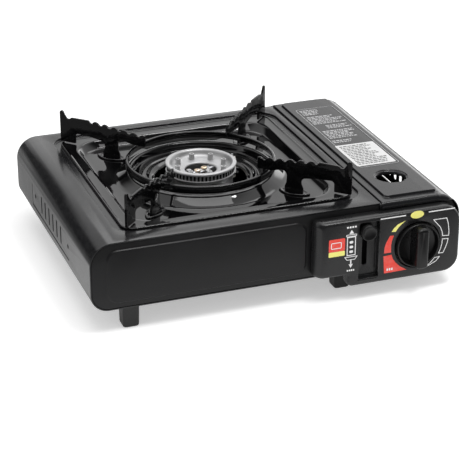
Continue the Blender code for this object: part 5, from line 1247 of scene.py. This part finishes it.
class STOVE_OT_knob(bpy.types.Operator):
    """Build the gas knob: a cup with a tall grip across it"""

    bl_idname = "stove.knob"
    bl_label = "Gas knob"

    def execute(self, context):
        radius = 0.0205
        back = 0.0042
        rim = 0.0030
        cup = [(0.0033, -back), (radius - 0.0006, -back), (radius, -back + 0.0006), (radius, rim - 0.0008),
               (radius - 0.0003, rim - 0.0002), (radius - 0.0009, rim), (radius - 0.0014, rim - 0.0003),
               (radius - 0.0018, rim - 0.0010), (radius - 0.0024, -0.0010), (radius - 0.0034, -0.0020),
               (0.0033, -0.0022)]
        rows = []
        for depth, narrow, short in ((-0.0030, 0.0, 0.0), (rim, 0.0, 0.0), (0.0080, 0.0003, 0.0004),
                                     (0.0108, 0.0006, 0.0008), (0.0119, 0.0012, 0.0015),
                                     (0.0125, 0.0024, 0.0028)):
            outline = rounded(KNOB.x - 0.0061 + narrow, KNOB.x + 0.0061 - narrow, KNOB.z - 0.0198 + short,
                              KNOB.z + 0.0198 - short, 0.0042 - narrow, 10)
            rows.append([Vector((x, FACE - depth, z)) for x, z in outline])
        bar = loft(rows, True, True)
        pointer = slab(rounded(KNOB.x - 0.0008, KNOB.x + 0.0008, KNOB.z + 0.0070, KNOB.z + 0.0165, 0.0006, 4),
                       "xz",
                       FACE - 0.0140, FACE - 0.0121)
        piece("gas_knob", turned(cup, 96, KNOB, "-y", ring=True), finish("knob_plastic"), "knob",
              "knob_plastic",
              ["control_knob"], joins=[bar], cuts=[pointer], edge=0.0003, segments=2, angle=50.0, smooth=50.0)
        return {"FINISHED"}


class STOVE_OT_lock_slider(bpy.types.Operator):
    """Build the round thumb piece of the cartridge lock"""

    bl_idname = "stove.lock_slider"
    bl_label = "Lock slider"

    def execute(self, context):
        radius = (LEVER_HIGH.x - LEVER_LOW.x) / 2.0
        depth = -(RECESS_DEPTH - GAP)
        front = 0.0040
        profile = [(0.0002, depth), (radius - 0.0004, depth), (radius, depth + 0.0004),
                   (radius, front - 0.0009),
                   (radius - 0.0003, front - 0.0002), (radius - 0.0009, front),
                   (radius - 0.0015, front - 0.0003),
                   (radius - 0.0024, front - 0.0011), (radius - 0.0042, front - 0.0016),
                   (0.0002, front - 0.0017)]
        neck = slab(rounded(LEVER.x - 0.0019, LEVER.x + 0.0019, LEVER.z - 0.003, LEVER.z + 0.003, 0.0006, 3),
                    "xz",
                    FACE + RECESS_DEPTH - 0.003, LEVER_HIGH.y)
        piece("lock_thumb", turned(profile, 64, LEVER, "-y"), finish("knob_plastic"), "lever", "panel_plastic",
              ["lock_lever"], joins=[neck], smooth=45.0)
        return {"FINISHED"}


# ================================================================ stage
CAMERA_SPOT = (-0.4800, -1.3142, 0.6624)
CAMERA_TARGET = (0.0006, 0.01125, 0.0184)
CAMERA_LENS = 129.34


class STOVE_OT_stage(bpy.types.Operator):
    """Set up the pale floor, the soft light and the camera"""

    bl_idname = "stove.stage"
    bl_label = "Stage"

    def execute(self, context):
        scene = context.scene
        half = 4.0
        bm = bmesh.new()
        bm.faces.new([bm.verts.new((x, y, 0.0)) for x,
                      y in ((-half, -half), (half, -half), (half, half), (-half, half))])
        floor = plain_object("floor", bm)
        paper = bpy.data.materials.new("floor_paper")
        paper.use_nodes = True
        board = Board(paper.node_tree)
        shader = paper.node_tree.nodes["Principled BSDF"]
        # Painted reflection: only for rays mirrored off the stove, the floor is mixed towards dark grey and its
        # glow lowered. It is darkened partly everywhere, more towards the back, and fully far in front and far
        # to the left, so the glossy parts show darker reflections than the lit floor would give. Camera and
        # diffuse rays see the even pale floor.
        mirrored = board.put("ShaderNodeLightPath").outputs["Is Glossy Ray"]
        place = board.put("ShaderNodeSeparateXYZ",
                          {0: board.put("ShaderNodeNewGeometry").outputs["Position"]}).outputs
        away = board.math("MAXIMUM", board.span(place["Y"], -0.14, -0.32), board.span(place["X"], -0.25, -0.32))
        beside = board.span(place["Y"], -0.04, 0.20, 0.30, 0.82)
        ahead = board.math("MULTIPLY", mirrored, board.math("MAXIMUM", away, beside))
        tone = board.put("ShaderNodeMix", {"Factor": ahead, "A": (0.94, 0.94, 0.94, 1.0),
                                           "B": (0.22, 0.22, 0.22, 1.0)},
                         data_type="RGBA").outputs["Result"]
        paper.node_tree.links.new(tone, shader.inputs["Base Color"])
        shader.inputs["Roughness"].default_value = 0.9
        shader.inputs["Specular IOR Level"].default_value = 0.1
        shader.inputs["Emission Color"].default_value = (1.0, 1.0, 1.0, 1.0)
        glow = board.math("SUBTRACT", 0.42, board.math("MULTIPLY", ahead, 0.40))
        paper.node_tree.links.new(glow, shader.inputs["Emission Strength"])
        floor.data.materials.append(paper)

        world = bpy.data.worlds.new("studio")
        scene.world = world
        world.use_nodes = True
        board = Board(world.node_tree)
        split = board.put("ShaderNodeSeparateXYZ",
                          {0: board.put("ShaderNodeTexCoord").outputs["Generated"]}).outputs
        card = board.math("MULTIPLY", board.span(split["X"], -0.02, -0.24), board.span(split["Z"], 0.62, 0.34))
        card = board.math("MULTIPLY", card, board.span(split["Y"], 0.05, 0.30))
        behind = board.span(split["Y"], 0.10, -0.40, 1.0, 0.10)
        seen = board.math("MULTIPLY", behind, board.math("SUBTRACT", 1.0, board.math("MULTIPLY", card, 0.96)))
        crown = board.math("MULTIPLY", board.span(split["Z"], 0.56, 0.62), board.span(split["Z"], 0.84, 0.76))
        crown = board.math("MULTIPLY", crown, board.span(split["Y"], 0.30, 0.45))
        crown = board.math("MULTIPLY", crown, board.span(split["X"], -0.05, 0.10, 0.0, 1.7))
        edge = board.math("MULTIPLY", board.span(split["X"], 0.42, 0.52),
                          board.span(split["Z"], 0.34, 0.22, 0.0, 1.3))
        seen = board.math("ADD", seen, board.math("ADD", crown,
                                                  board.math("MULTIPLY", edge,
                                                             board.span(split["Y"], 0.1, 0.3))))
        mirrored = board.put("ShaderNodeLightPath").outputs["Is Glossy Ray"]
        seen = board.math("MULTIPLY", mirrored, board.math("SUBTRACT", seen, 0.55))
        light = board.math("ADD", seen, 0.55)
        shade = world.node_tree.nodes["Background"]
        world.node_tree.links.new(light, shade.inputs["Strength"])
        shade.inputs["Color"].default_value = (1.0, 1.0, 1.0, 1.0)

        def lamp(name, spot, size, power):
            data = bpy.data.lights.new(name, "AREA")
            data.shape = "RECTANGLE"
            data.size, data.size_y = size
            data.energy = power
            made = bpy.data.objects.new(name, data)
            made.location = spot
            made.rotation_euler = (Vector((0.0, 0.0, 0.05)) - Vector(spot)).to_track_quat("-Z", "Y").to_euler()
            scene.collection.objects.link(made)

        lamp("overhead", (0.0, -0.50, 1.90), (1.5, 1.2), 15.0)
        lamp("front_strip", (0.45, -0.55, 1.70), (0.9, 0.09), 7.0)

        data = bpy.data.cameras.new("camera")
        data.lens = CAMERA_LENS
        data.sensor_width = 36.0
        camera = bpy.data.objects.new("camera", data)
        camera.location = CAMERA_SPOT
        camera.rotation_euler = (Vector(CAMERA_TARGET) - Vector(CAMERA_SPOT)).to_track_quat("-Z",
                                                                                            "Y").to_euler()
        scene.collection.objects.link(camera)
        scene.camera = camera
        scene.view_settings.view_transform = "Standard"
        return {"FINISHED"}


class STOVE_PT_panel(bpy.types.Panel):
    """Lists the stove's sizes, colours and building steps"""

    bl_idname = "STOVE_PT_panel"
    bl_label = "Cassette stove"
    bl_space_type = "VIEW_3D"
    bl_region_type = "UI"
    bl_category = "Stove"

    def draw(self, context):
        for group in (context.scene.stove_sizes, context.scene.stove_colours):
            for name in group.__annotations__:
                self.layout.prop(group, name)
        for step in STEPS:
            self.layout.operator(step.bl_idname)


STEPS = (STOVE_OT_stage, STOVE_OT_body_sheet, STOVE_OT_end_plates, STOVE_OT_feet, STOVE_OT_tray,
         STOVE_OT_support_ring, STOVE_OT_support_arms, STOVE_OT_burner, STOVE_OT_spark_parts,
         STOVE_OT_gas_parts,
         STOVE_OT_lid, STOVE_OT_fascia, STOVE_OT_knob, STOVE_OT_lock_slider)
CLASSES = (StoveSizes, StoveColours, *STEPS, STOVE_PT_panel)


def register():
    for cls in CLASSES:
        bpy.utils.register_class(cls)
    bpy.types.Scene.stove_sizes = PointerProperty(type=StoveSizes)
    bpy.types.Scene.stove_colours = PointerProperty(type=StoveColours)


def unregister():
    del bpy.types.Scene.stove_colours
    del bpy.types.Scene.stove_sizes
    for cls in reversed(CLASSES):
        bpy.utils.unregister_class(cls)


def main():
    register()
    GROUPS["grain"] = surface_grain_group()
    GROUPS["wear"] = edge_wear_group()
    GROUPS["dust"] = fine_dust_group()
    GROUPS["hairline"] = hairline_group()
    GROUPS["turning"] = turning_group()
    for step in STEPS:
        group, name = step.bl_idname.split(".")
        getattr(getattr(bpy.ops, group), name)()


if __name__ == "__main__":
    main()
